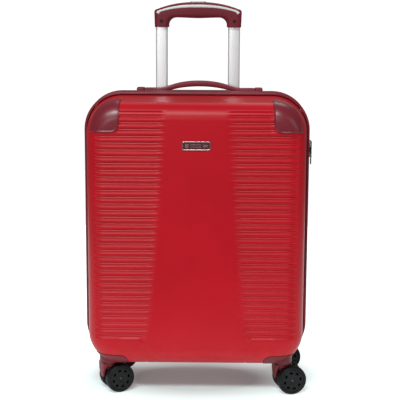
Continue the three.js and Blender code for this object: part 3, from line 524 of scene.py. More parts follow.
def outline_frame(arc=20, across=28, up=40):
    """Anchor points and outward directions round the case, anticlockwise from the middle of the bottom:
    an outline at any inset is anchor plus (corner radius less inset) times direction."""
    anchors, ways = [], []
    corners = ((1, -1, -90), (1, 1, 0), (-1, 1, 90), (-1, -1, 180))
    for k, (sx, sz, start) in enumerate(corners):
        a = np.radians(start + np.linspace(0, 90, arc + 1))
        centre = np.array([sx * REACH_X, MIDDLE + sz * REACH_Z])
        anchors.append(np.broadcast_to(centre, (arc + 1, 2)))
        ways.append(np.stack([np.cos(a), np.sin(a)], -1))
        nx, nz, _ = corners[(k + 1) % 4]
        count = up if k % 2 == 0 else across
        t = np.linspace(0, 1, count + 1)[1:-1, None]
        following = np.array([nx * REACH_X, MIDDLE + nz * REACH_Z])
        anchors.append(centre * (1 - t) + following * t)
        ways.append(np.broadcast_to(ways[-1][-1], (count - 1, 2)))
    anchor, way = np.concatenate(anchors), np.concatenate(ways)
    return np.concatenate([anchor, anchor[:1]]), np.concatenate([way, way[:1]])


ANCHOR, WAY = outline_frame()


def round_case(profile, side, anchor=ANCHOR, way=WAY):
    """Carries a profile of (inset, depth) points round the case's outline; side is -1 for the front."""
    inset, depth = profile[:, 0], profile[:, 1]
    flat = anchor[:, None, :] + (CORNER - inset)[None, :, None] * way[:, None, :]
    return np.stack([flat[..., 0], np.broadcast_to(side * depth, flat.shape[:2]), flat[..., 1]], -1)


def section(rho, face, fillet, flat):
    """Cross-section of a tray at the distance rho over its surface from the corner arc's centre line:
    radius, depth and the normal's two parts. Flat face, fillet arc, then a wall leaning by the draft."""
    bend = np.pi / 2 - DRAFT
    a = np.clip((rho - flat) / fillet, 0, bend)
    past = np.maximum(rho - flat - fillet * bend, 0)
    radius = np.minimum(rho, flat) + fillet * np.sin(a) + past * np.sin(DRAFT)
    depth = face - fillet * (1 - np.cos(a)) - past * np.cos(DRAFT)
    return radius, depth, np.sin(a), np.cos(a)


def tray_end(face, fillet, flat, rim=RIM):
    """Distance over the surface from the corner arc's centre line to the rim."""
    bend = np.pi / 2 - DRAFT
    return flat + fillet * bend + (face - fillet * (1 - np.cos(bend)) - rim) / np.cos(DRAFT)


def tray(s, t, side, lift=0.0, face=FACE, fillet=FACE_FILLET, flat=FLAT):
    """Tray surface at the unrolled distances s across and t up from its middle, moved out by lift.
    Beyond both centre lines the larger distance is the radius and the ratio of the two the angle."""
    p, q = np.abs(s) - REACH_X, np.abs(t) - REACH_Z
    rho = np.maximum(p, q)
    ratio = np.where((p > 0) & (q > 0), np.minimum(p, q) / np.maximum(rho, 1e-9), 0)
    angle = np.where(p >= q, np.pi / 4 * ratio, np.pi / 2 - np.pi / 4 * ratio)
    radius, depth, out, forward = section(np.maximum(rho, 0), face, fillet, flat)
    sx, sz = np.where(s < 0, -1, 1), np.where(t < 0, -1, 1)
    reach = radius + lift * out
    x = np.clip(s, -REACH_X, REACH_X) + sx * reach * np.cos(angle) * (rho > 0)
    z = MIDDLE + np.clip(t, -REACH_Z, REACH_Z) + sz * reach * np.sin(angle) * (rho > 0)
    return np.stack([x, side * (depth + lift * forward), z], -1)


def spaced(*parts):
    """Joined stretches of evenly spaced numbers, each given as (from, to, steps), without doubles."""
    out = [np.linspace(a, b, n + 1)[:-1] for a, b, n in parts]
    return np.concatenate(out + [np.array([parts[-1][1]])])


# ---- Ribbed half shells --------------------------------------------------------------------------------

PITCH = 11.75
RIB_COUNT = 34
RIB_DEPTH = 2.1
RIB_LOW = -179.0                  # bottom of the lowest rib, from the middle of the case
RIB_HIGH = RIB_LOW + PITCH * RIB_COUNT
PHASES = np.array([0.0, 0.05, 0.10, 0.155, 0.21, 0.26, 0.32, 0.37, 0.41, 0.46, 0.54, 0.64, 0.74, 0.83,
                   0.90, 0.95])
PANEL_TOP, PANEL_BOTTOM = 50.0, 80.0      # half width of the smooth middle panel
PANEL_FADE = 15.0
RIM_FADE = (36.0, 45.0)           # past the corner arcs' centre line, where ribs and ledges run out
PAD_SIDE = 97.0                   # middle of the case to a caster pad's inner corner
SHELL_END = tray_end(FACE, FACE_FILLET, FLAT)


def rib_height(phase):
    """One rib from its lower edge up: a narrow groove, a thin bead, a groove, then a wide ridge that
    falls away gently on its upper side. 0 is the floor of the grooves and 1 the crown."""
    bead = 0.42 * smoothstep(0.06, 0.14, phase) * (1 - smoothstep(0.20, 0.28, phase))
    ridge = smoothstep(0.33, 0.47, phase) * (1 - smoothstep(0.80, 1.0, phase))
    return np.maximum(bead, ridge * (0.86 + 0.14 * np.sin(np.pi * np.clip((phase - 0.36) / 0.6, 0, 1))))


def rib_mask(s, t):
    """1 where ribs are full and 0 where the shell is smooth: the middle panel, which widens downwards,
    the rounding to the side walls, above and below the ribs and under the guards."""
    up = np.clip((t - RIB_LOW) / (RIB_HIGH - RIB_LOW), 0, 1)
    half = PANEL_BOTTOM + (PANEL_TOP - PANEL_BOTTOM) * up ** 0.8
    panel = smoothstep(half, half + PANEL_FADE, np.abs(s))
    rim = 1 - smoothstep(*RIM_FADE, np.abs(s) - REACH_X)
    guard = 1 - smoothstep(-3, 3, np.abs(s) - REACH_X) * smoothstep(0, 7, t - REACH_Z)
    ends = smoothstep(RIB_LOW - 3.5, RIB_LOW + 0.5, t) * (1 - smoothstep(RIB_HIGH - 1, RIB_HIGH + 1, t))
    return panel * rim * guard * ends


def pad_groove(s, t):
    """Shallow groove that runs down and inwards past the upper inner corner of each caster pad."""
    across, down = PAD_SIDE - np.abs(s), RIB_LOW - 2.0 - t
    along = (across + down) / math.sqrt(2)
    off = (across - down) / math.sqrt(2)
    return np.exp(-(off / 2.2) ** 2) * smoothstep(-2, 2, along) * (1 - smoothstep(7, 14, along))


def pad_ledge(s, t):
    """Deep rounded step under the lowest rib that leaves a ledge over each caster pad, and a faint line
    down the pad's inner edge. 1 is as deep as the grooves."""
    x = np.abs(s)
    ledge = 1.25 * np.exp(-((t - RIB_LOW + 0.6) / 2.6) ** 2) * smoothstep(90, 98, x)
    line = 0.35 * np.exp(-((x - 88) / 1.6) ** 2) * smoothstep(RIB_LOW - 8, RIB_LOW - 16, t)
    return np.maximum(ledge * (1 - smoothstep(*RIM_FADE, x - REACH_X)), line)


def rib_rows():
    """Distances up the shell, close together over the ribs and roundings."""
    ribs = (RIB_LOW + PITCH * (np.arange(RIB_COUNT)[:, None] + PHASES[None])).ravel()
    far = REACH_Z + SHELL_END
    below = spaced((-far, -REACH_Z - FLAT - 48, 9), (-REACH_Z - FLAT - 48, -REACH_Z - FLAT, 14),
                   (-REACH_Z - FLAT, RIB_LOW - 3.5, 14), (RIB_LOW - 3.5, RIB_LOW, 4))[:-1]
    above = spaced((RIB_HIGH, RIB_HIGH + 3, 3), (RIB_HIGH + 3, REACH_Z + FLAT + 48, 14),
                   (REACH_Z + FLAT + 48, far, 9))
    return np.concatenate([below, ribs, above])


def rib_columns():
    """Distances across the shell, the same on both sides of its middle."""
    end = REACH_X + SHELL_END
    half = spaced((0, 44, 9), (44, 100, 22), (100, REACH_X + FLAT, 14),
                  (REACH_X + FLAT, REACH_X + FLAT + 48, 18), (REACH_X + FLAT + 48, end - 16, 7),
                  (end - 16, end, 7))
    return np.concatenate([-half[:0:-1], half])


def edge_fan(outer, inner):
    """Four narrow sheets that join the borders of an outer and an inner sheet of the same shape."""
    return [np.stack([outer[0], inner[0]]), np.stack([outer[-1], inner[-1]]),
            np.stack([outer[:, 0], inner[:, 0]]), np.stack([outer[:, -1], inner[:, -1]])]


def ribbed_shell(side):
    """Half shell: tray surface recessed by the grooves' depth times mask times (1 - rib height)."""
    t, s = np.meshgrid(rib_rows(), rib_columns(), indexing="ij")
    phase = ((t - RIB_LOW) / PITCH) % 1.0
    groove = rib_mask(s, t) * (1 - rib_height(phase))
    groove = np.maximum(groove, np.maximum(0.9 * pad_groove(s, t), pad_ledge(s, t)))
    outer = tray(s, t, side, -RIB_DEPTH * groove)
    inner = tray(s, t, side, -SHELL_WALL)
    return [outer, inner] + edge_fan(outer, inner)


# Where the casters' housings break through the shells
HOUSING_LOW, HOUSING_HIGH = node_box("rear_caster_housing_right")
ARCH_X, ARCH_Y, ARCH_Z = HOUSING_LOW[0], HOUSING_LOW[1], HOUSING_HIGH[2]
ARCH_FLOOR = HOUSING_LOW[2]
ARCH_FILLET = 14.0


def arch(side, hand, grow, low=-60.0):
    """Solid that rounds off over a caster: a block with a filleted inner top edge seen from the front,
    crossed with one seen from the side."""
    far = 260.0
    inner, back, top, fillet = ARCH_X - grow, ARCH_Y - grow, ARCH_Z + grow, ARCH_FILLET + grow
    a = np.linspace(np.pi / 2, np.pi, 9)

    def bow(start):
        arc = np.stack([start + fillet + fillet * np.cos(a), top - fillet + fillet * np.sin(a)], -1)
        return np.concatenate([[[far, low], [far, top]], arc, [[start, low], [far, low]]])

    front = solid("arch", slab(bow(inner) * [hand, 1], min(side * far, 0), max(side * far, 0),
                                               "y"))
    flank = solid("flank", slab(bow(back) * [side, 1], min(hand * far, 0),
                                                 max(hand * far, 0), "x"))
    return carve(front, [flank], "INTERSECT")


def make_shells():
    """Ribbed shells with the caster arches cut out, and the rear one with a hole for the bezel."""
    for half, side in SIDES:
        body = half + "_case"
        shell = thing(half + "_shell_ribbed", mesh_of(half + "_shell_ribbed", ribbed_shell(side), sharp=50))
        cutters = [arch(side, hand, 0.7) for _, hand in HANDS]
        if side == REAR:
            low, high = node_box("handle_bezel")
            neck = round_rect(high[0] - low[0] - 5, high[1] - low[1] - 5, 8)
            cutters.append(solid("neck", slab(
                shifted(neck, 0, (low[1] + high[1]) / 2), low[2] - 20, high[2] + 20, "z")))
        carve(shell, cutters, sharp=50)
        settle(shell, SHELL_RED, body, [half + "_shell"])


def plain_tray(side, lift, face=FACE, fillet=FACE_FILLET, flat=FLAT, inner=None, rim=RIM, step=1.0):
    """Sheets of a smooth closed tray wall between two lifts."""
    end = tray_end(face, fillet, flat, rim)
    turn = fillet * np.pi / 2
    n = lambda length: max(2, int(round(length * step)))

    def line(reach):
        half = spaced((0, reach, n(reach / 7)), (reach, reach + flat, n(flat / 5)),
                      (reach + flat, reach + flat + turn, n(turn / 3.2)),
                      (reach + flat + turn, reach + end, n(10)))
        return np.concatenate([-half[:0:-1], half])

    t, s = np.meshgrid(line(REACH_Z), line(REACH_X), indexing="ij")
    outer = tray(s, t, side, lift, face, fillet, flat)
    if inner is None:
        return outer, s, t
    within = tray(s, t, side, inner, face, fillet, flat)
    return [outer, within] + edge_fan(outer, within), s, t


def make_housings():
    """Each caster's carrier: the tray's own surface, 0.8 mm proud, inside the arch and above its floor,
    joined to a round collar about the swivel and bored for the king pin."""
    for half, side in SIDES:
        for hand_name, hand in HANDS:
            node_name = f"{half}_caster_housing_{hand_name}"
            outer, _, _ = plain_tray(side, 0.8)
            back = outer.copy()
            back[..., 1] = side * 20.0
            sheets = [outer, back] + edge_fan(outer, back)
            made = thing(node_name + "_moulding", mesh_of(node_name + "_moulding", sheets))
            block = arch(side, hand, 0.0, low=ARCH_FLOOR)
            carve(made, [block], "INTERSECT")
            caster = next(j for j in frame["joints"] if j["name"] == f"{half}_{hand_name}_swivel")
            x, y, _ = np.array(caster["pos_m"]) / MM
            collar = turned([(0, ARCH_FLOOR), (16.2, ARCH_FLOOR), (17.0, ARCH_FLOOR + 1),
                             (17.6, ARCH_FLOOR + 15), (0, ARCH_FLOOR + 15)], (x, y, 0), (0, 0, 1))
            carve(made, [solid("collar", [collar])], "UNION")
            bore = solid("bore", slab(shifted(circle(5.3), x, y), ARCH_FLOOR - 5,
                                                      ARCH_FLOOR + 17, "z"))
            seat = solid("seat", slab(shifted(circle(15.5), x, y), ARCH_FLOOR - 5,
                                                      ARCH_FLOOR + 1.2, "z"))
            carve(made, [bore, seat], sharp=30)
            settle(made, HOUSING_MAROON, half + "_case", [node_name])


# ---- Edge bands and zip --------------------------------------------------------------------------------

TRIM_INSET = 4.7
TOOTH_PITCH = 2.6
HINGE_HALF = 5.4                  # half width of the woven hinge


def make_trims():
    """Soft band round each half: rounded outer edges, a fine bead line along its middle, and a lip that
    lies on the shell."""
    for half, side in SIDES:
        low, high = RIM, TRIM_REACH
        profile = rounded_corner([(TRIM_INSET, low + 0.2), (0.55, low + 0.2), (0.0, low + 1.2),
                                  (0.0, high - 3.1), (0.35, high - 2.6), (0.0, high - 2.1),
                                  (0.05, high - 1.0), (2.2, high), (TRIM_INSET, high),
                                  (TRIM_INSET, low + 0.2)], 0.9, 3)
        piece(half + "_edge_band", [round_case(profile, side)], TRIM_MAROON, half + "_case",
              [half + "_edge_trim"], sharp=60)


def zip_path():
    """Stretch of the outline that the zip runs along: all of it but the straight left side."""
    anchor, way = outline_frame(arc=24, across=60, up=80)
    arc_start = np.flatnonzero((way[:, 0] < -0.9999))
    first, last = arc_start.min(), arc_start.max()
    order = np.concatenate([np.arange(last, len(anchor) - 1), np.arange(0, first + 1)])
    return anchor[order], way[order]


def teeth(side):
    """Zip teeth: small rounded blocks, one every 2.6 mm along the outline, leaning over the parting."""
    anchor, way = zip_path()
    line = anchor + (CORNER - 2.7) * way
    run = running_length(line)
    spots = np.arange(6.0, run[-1] - 6.0, TOOTH_PITCH) + (0.65 if side > 0 else 0.0)
    at = lambda values: np.stack([np.interp(spots, run, values[:, k]) for k in (0, 1)], -1)
    centre, out = at(line), at(way)
    out /= np.linalg.norm(out, axis=1, keepdims=True)
    along = np.stack([-out[:, 1], out[:, 0]], -1)
    # eight corners and a crown: (along, outwards, depth)
    shape = np.array([[-0.62, -0.5, 2.6], [0.62, -0.5, 2.6], [0.62, -0.5, 0.12], [-0.62, -0.5, 0.12],
                      [-0.45, 0.55, 2.2], [0.45, 0.55, 2.2], [0.45, 0.55, 0.3], [-0.45, 0.55, 0.3]])
    flat = (centre[:, None] + shape[None, :, :1] * along[:, None] + shape[None, :, 1:2] * out[:, None])
    points = np.stack([flat[..., 0], np.broadcast_to(side * shape[:, 2], flat.shape[:2]), flat[..., 1]], -1)
    faces = np.array([[0, 1, 2, 3], [4, 5, 6, 7], [0, 1, 5, 4], [1, 2, 6, 5], [2, 3, 7, 6], [3, 0, 4, 7]])
    index = (np.arange(len(spots))[:, None, None] * 8 + faces[None]).reshape(-1, 4)
    mesh = bpy.data.meshes.new("teeth")
    mesh.from_pydata((points.reshape(-1, 3) * MM).tolist(), [], index.tolist())
    tidy(mesh, 30)
    return mesh


def make_zip():
    """Tape and teeth along each rim, and a woven hinge on the left side."""
    for half, side in SIDES:
        anchor, way = outline_frame()
        profile = np.array([(3.3, 0.35), (3.05, 0.6), (3.0, 3.2), (2.85, 5.9), (3.3, 6.2), (4.9, 6.1),
                            (4.9, 0.5), (3.3, 0.35)])
        sheet = round_case(profile, side, anchor, way)
        run = running_length(sheet[:, 0])
        girth = running_length(profile)
        uv = np.stack(np.broadcast_arrays(run[:, None] * MM, girth[None] * MM), -1)
        piece(half + "_zip_cloth", [sheet], ZIP_CLOTH, half + "_case", [half + "_zip_tape"],
              uvs=[uv], sharp=50)
        made = thing(half + "_zip_teeth", teeth(side))
        settle(made, COIL_BLACK, half + "_case")
    # woven hinge on the left side, from one half to the other
    z = np.linspace(CASE_BOTTOM + CORNER - 6, CASE_TOP - CORNER + 6, 60)
    across = np.linspace(-HINGE_HALF, HINGE_HALF, 19)
    zz, yy = np.meshgrid(z, across, indexing="ij")
    face = -HALF_WIDTH + 2.1 + 0.5 * np.abs(yy / HINGE_HALF) ** 3
    outer = np.stack([face, yy, zz], -1)
    inner = np.stack([face + 0.6, yy, zz], -1)
    uv = np.stack([zz * MM, yy * MM], -1)
    strip = thing("hinge_strip", mesh_of("hinge_strip", [outer, inner] + edge_fan(outer, inner),
                                         [uv, uv] + edge_fan(uv, uv), 60))
    settle(strip, WEBBING, None)
    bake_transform(strip)


# ---- Corner guards -------------------------------------------------------------------------------------

GUARD_LOW = node_box("rear_corner_guard_right")[0]
RIVET_SPOT = np.array([14.5, 18.5])  # corner arc centre to the rivet, over the surface
GUARD_SIDE, GUARD_UP = 52.0, 84.0  # corner arc centre to the guard's outer edge, over the surface


def guard_loop(fillet=16.0, tip=5.0):
    """Closed outline of a guard about the corner arc's centre, as distances over the surface: an inner
    and a lower edge with a filleted corner, and a quarter ellipse that ends past the centre line."""
    a0, b0 = GUARD_LOW[0] - REACH_X, GUARD_LOW[2] - MIDDLE - REACH_Z
    swing = np.linspace(math.asin(b0 / GUARD_SIDE) + 0.1, np.pi / 2 - 0.06, 25)
    arc = np.stack([np.cos(swing), np.sin(swing)], -1)
    arc *= 1 / np.hypot(arc[:, :1] / GUARD_SIDE, arc[:, 1:] / GUARD_UP)
    tip_a = rounded_corner([(GUARD_SIDE - 14, b0), (GUARD_SIDE, b0), arc[0]], tip, 5)
    tip_b = rounded_corner([arc[-1], (a0 + 2, GUARD_UP), (a0 + 2.2, GUARD_UP - 14)], tip, 5)
    inner = rounded_corner([tip_b[-1], (a0 + 4.5, b0), tip_a[0]], fillet, 10)
    loop = np.concatenate([tip_a, arc[1:-1], tip_b, inner[1:-1], tip_a[:1]])
    run = running_length(loop)
    spots = np.unique(np.concatenate([run, np.arange(0, run[-1], 2.5)]))
    return np.stack([np.interp(spots, run, loop[:, k]) for k in (0, 1)], -1)


def on_corner(p, q, lift):
    """Point of the tray's surface that lies p across and q up from the corner arc's centre, measured over
    the surface, and is moved out by lift. Left of the centre or below it the surface goes on straight."""
    across, up = np.maximum(p, 0), np.maximum(q, 0)
    rho = np.maximum(np.hypot(across, up), 1e-6)
    radius, depth, out, forward = section(rho, FACE, FACE_FILLET, FLAT)
    share = (radius + lift * out) / rho
    return np.minimum(p, 0) + across * share, depth + lift * forward, np.minimum(q, 0) + up * share


def make_guards():
    """Corner guard: a cover whose surface follows the tray 2.2 mm above it, with a raised border and a
    rounded edge, held by a rivet near its lower inner corner."""
    loop = guard_loop()
    middle = np.array([17.0, 32.0])
    share = np.concatenate([np.linspace(0, 0.8, 9),
                            [0.86, 0.885, 0.91, 0.94, 0.965, 0.985, 0.996, 1.0, 1.0]])
    lift = np.concatenate([2.2 - 0.9 * np.linspace(0, 0.86, 10) ** 2,
                           [1.6, 2.0, 2.3, 2.3, 1.9, 1.2, 0.5, 0.05]])
    flat = middle + share[:, None, None] * (loop - middle)[None]
    for half, side in SIDES:
        for hand_name, hand in HANDS:
            node_name = f"{half}_corner_guard_{hand_name}"
            x, depth, z = on_corner(flat[..., 0], flat[..., 1], lift[:, None])
            sheet = np.stack([hand * (REACH_X + x), side * depth, MIDDLE + REACH_Z + z], -1)
            x, depth, z = on_corner(flat[..., 0], flat[..., 1], np.full_like(lift, 0.05)[:, None])
            under = np.stack([hand * (REACH_X + x), side * depth, MIDDLE + REACH_Z + z], -1)
            body = half + "_case"
            piece(node_name + "_cover", [sheet, under], GUARD_MAROON, body, [node_name],
                  sharp=45)
            x, depth, z = on_corner(*RIVET_SPOT, 0.5)
            dome = [(0.0, 1.7), (0.9, 1.62), (1.7, 1.35), (2.3, 0.85), (2.45, 0.3), (2.45, -0.5), (0, -0.5)]
            piece(node_name + "_rivet", [turned(dome, (hand * (REACH_X + x), side * depth,
                                                       MIDDLE + REACH_Z + z), (0, side, 0), 24)],
                  GUARD_MAROON, body)


# ---- Badge ---------------------------------------------------------------------------------------------


def make_badge():
    """Rounded metal frame round a dark plate with three plain bars."""
    low, high = node_box("badge_frame")
    size = high - low
    z = (low[2] + high[2]) / 2
    border, corner = 2.3, 3.4
    rows = []
    back, front = -FACE - 0.05, low[1]
    for d, y in ((0.0, back), (0.0, front + 0.6), (0.18, front + 0.2), (0.6, front), (1.5, front + 0.05),
                 (2.0, front + 0.35), (border, front + 0.9), (border, back)):
        ring = round_rect(size[0] - 2 * d, size[2] - 2 * d, max(corner - d, 0.9), 8)
        rows.append(place(shifted(ring, 0, z), y, "y"))
    rows.append(rows[0])
    piece("badge_rim", [np.stack(rows)], BADGE_METAL, "front_case", ["badge_frame"],
          sharp=60)
    width, height = size[0] - 2 * border - 0.1, size[2] - 2 * border - 0.1
    plate = slab(shifted(round_rect(width, height, 1.1), 0, z), front + 0.75, back, "y", 0.0)
    piece("badge_enamel_plate", plate, BADGE_ENAMEL, "front_case", ["badge_plate"])
    bars = []
    for x, w, h in ((-16.2, 6.0, 6.0), (-1.0, 19.0, 1.5), (-1.0, 19.0, 1.5), (15.4, 7.5, 4.2)):
        lift = 2.0 * (1 if len(bars) == 3 else -1) if w > 10 else 0.0
        bars += slab(shifted(round_rect(w, h, 0.6, 3), x, z + lift), front + 0.45, front + 0.9, "y", 0.0)
    piece("badge_bars", bars, BADGE_METAL, "front_case")


# ---- Pull handle ---------------------------------------------------------------------------------------


def hollow_tube(node_name, body, wall=1.4, corner=5.0):
    """Rounded rectangular tube: outer skin up, over a rounded lip, inner skin down, and back."""
    low, high = node_box(node_name)
    width, depth = high[0] - low[0], high[1] - low[1]
    x, y = (low[0] + high[0]) / 2, (low[1] + high[1]) / 2
    rows = [(0.0, z) for z in np.linspace(low[2], high[2] - 0.5, 24)]
    rows += [(0.15, high[2] - 0.15), (0.5, high[2]), (wall - 0.4, high[2]), (wall, high[2] - 0.5),
             (wall, low[2]), (0.0, low[2])]
    sheets = np.stack([place(shifted(round_rect(width - 2 * d, depth - 2 * d, corner - d, 7), x, y), z, "z")
                       for d, z in rows])
    piece(node_name + "_extrusion", [sheets], TUBE_METAL, body, [node_name], sharp=50)


def grip_curves():
    """Outer and inner edge curves of the grip, from one leg over the crown to the other, row by row."""
    low, high = node_box("grip")
    bottom, top, half, flare = low[2], high[2], high[0], 0.9
    leg, bar, crown, shoulder, fillet = 27.0, 28.0, 13.0, 5.0, 14.0
    ends, under, span, inner = top - crown, top - bar, half - shoulder, half - leg
    t = np.linspace(0, 1, 15)[:, None]
    outer_leg = np.array([half - flare, bottom]) * (1 - t) + np.array([half, ends - shoulder]) * t
    inner_leg = np.array([inner, bottom]) * (1 - t) + np.array([inner, under - fillet]) * t

    def bezier(a, b, c):
        return np.array(a) * (1 - t) ** 2 + 2 * np.array(b) * t * (1 - t) + np.array(c) * t ** 2

    outer_turn = bezier((half, ends - shoulder), (half, ends - shoulder / 5), (span, ends))
    a = t * np.pi / 2
    inner_turn = np.concatenate([inner - fillet + fillet * np.cos(a), under - fillet + fillet * np.sin(a)], 1)
    s = np.linspace(0, 1, 25)[:, None] ** 1.1
    x = span * (1 - s)
    outer_bar = np.concatenate([x, top - crown * (x / span) ** 2.3], 1)
    inner_bar = np.concatenate([(inner - fillet) * (1 - s), under - 1.2 * smoothstep(0, 1, s)], 1)
    outer = np.concatenate([outer_leg[:-1], outer_turn[:-1], outer_bar])
    inside = np.concatenate([inner_leg[:-1], inner_turn[:-1], inner_bar])
    mirror = np.array([-1, 1])
    return (np.concatenate([outer, outer[-2::-1] * mirror]),
            np.concatenate([inside, inside[-2::-1] * mirror]))


GRIP_POWER = 4.6
TUBE_X = (node_box("inner_tube_right")[0] + node_box("inner_tube_right")[1])[0] / 2


def make_grip():
    """Grip: a superellipse section carried between the inner and outer edge curves, front face slightly
    crowned. The inlay is a strip of the same surface 0.3 mm proud, a set way below the crown."""
    low, high = node_box("grip")
    y, half_depth = (low[1] + high[1]) / 2, (high[1] - low[1]) / 2
    outer, inner = grip_curves()
    middle, reach = (outer + inner) / 2, (outer - inner) / 2
    ring = oval(2, 2, GRIP_POWER, 48)
    flat = middle[:, None] + ring[None, :, :1] * reach[:, None]
    sheet = np.stack([flat[..., 0], y + half_depth * np.broadcast_to(ring[:, 1], flat.shape[:2]),
                      flat[..., 1]], -1)

    def hem(row, shrink, drop):
        centre = row[:-1].mean(0)
        out = centre + (row - centre) * [shrink, shrink, 1]
        out[:, 2] = row[:, 2] + drop
        return out

    def ended(row):
        return np.stack([hem(row, 1, 0), hem(row, 0.985, 0), hem(row, 0.94, 0), hem(row, 0.0, 0)])

    body = "pull_handle"
    grip = thing("grip_moulding", mesh_of("grip_moulding", [sheet, ended(sheet[0]), ended(sheet[-1])]))
    button_low, button_high = node_box("grip_button")
    size = button_high - button_low
    well = solid("well", slab(shifted(round_rect(size[0] + 1, size[1] + 1, 5), 0, y),
                                              button_low[2] - 3.6, high[2] + 8, "z"))
    holes = [solid("hole", slab(shifted(circle(3.1, 28), x, low[2] + 10.5),
                                                low[1] - 3, low[1] + 3.2, "y"))
             for x in (-TUBE_X, TUBE_X)]
    carve(grip, [well] + holes, sharp=40)
    settle(grip, GRIP_MAROON, body, ["grip"])
    for k, x in enumerate((-TUBE_X, TUBE_X)):
        head = [(0, -0.2), (0.7, -0.2), (0.75, 0.5), (1.9, 0.5), (2.7, 0.1), (2.7, -1.5), (0, -1.5)]
        piece(f"grip_screw_{k + 1}", [turned(head, (x, low[1] + 2.6, low[2] + 10.5), (0, -1, 0), 24)],
              BLACK_PLASTIC, body)

    keep = slice(18, len(outer) - 18)
    mid, arm = middle[keep], reach[keep]
    length = np.linalg.norm(arm, axis=1)
    drops = np.array([4.5, 4.5, 4.9, 5.8, 7.0, 8.2, 9.1, 9.5, 9.5, 4.5])
    proud = np.array([1.2, -0.05, -0.3, -0.5, -0.6, -0.5, -0.3, -0.05, 1.2, 1.2])
    share = 1 - drops[None] / length[:, None]
    front = -half_depth * (1 - np.abs(share) ** GRIP_POWER) ** (1 / GRIP_POWER)
    flat = mid[:, None] + share[..., None] * arm[:, None]
    inlay = np.stack([flat[..., 0], y + front + proud[None], flat[..., 1]], -1)
    piece("grip_inlay_strip", [inlay, cap(inlay[0]), cap(inlay[-1])], GRIP_GREY, body,
          ["grip_inlay"])

    loop = shifted(round_rect(size[0], size[1], 4.6, 8), 0, y)
    sheets = slab(loop, button_low[2], button_high[2], "z", 1.2, 5)
    ribs = []
    for k in (-1, 0, 1):
        ribs += slab(shifted(round_rect(1.2, 6.5, 0.59, 4), k * 4.0, y), button_high[2] - 0.4,
                     button_high[2] - 0.02, "z", 0.15, 2)
    piece("grip_button_cap", sheets, GRIP_GREY, "grip_button", ["grip_button"])
    piece("grip_button_ribs", ribs, GRIP_GREY, "grip_button")


def make_bezel():
    """Moulded collar in the top wall, with a rounded lip and two mouths for the tubes."""
    low, high = node_box("handle_bezel")
    y = (low[1] + high[1]) / 2
    sheets = slab(shifted(round_rect(high[0] - low[0], high[1] - low[1], 9, 8), 0, y), low[2] + 1,
                  high[2], "z", 2.2, 4, 0.0)
    collar = thing("bezel_collar", mesh_of("bezel_collar", sheets))
    mouths = []
    for x in (-TUBE_X, TUBE_X):
        tube_low, tube_high = node_box("mid_tube_right")
        wide, deep = tube_high[0] - tube_low[0] + 0.8, tube_high[1] - tube_low[1] + 0.8
        rows = [(0.0, low[2] - 4), (0.0, high[2] - 1.6), (-1.0, high[2] - 0.3), (-2.2, high[2] + 0.6)]
        sheet = np.stack([place(shifted(round_rect(wide - 2 * d, deep - 2 * d, 4.4 - d, 7), x, y), z, "z")
                          for d, z in rows])
        mouths.append(solid("mouth", [sheet, cap(sheet[0]), cap(sheet[-1])]))
    carve(collar, mouths, sharp=35)
    settle(collar, BLACK_PLASTIC, "rear_case", ["handle_bezel"])


# ---- Carry handle --------------------------------------------------------------------------------------


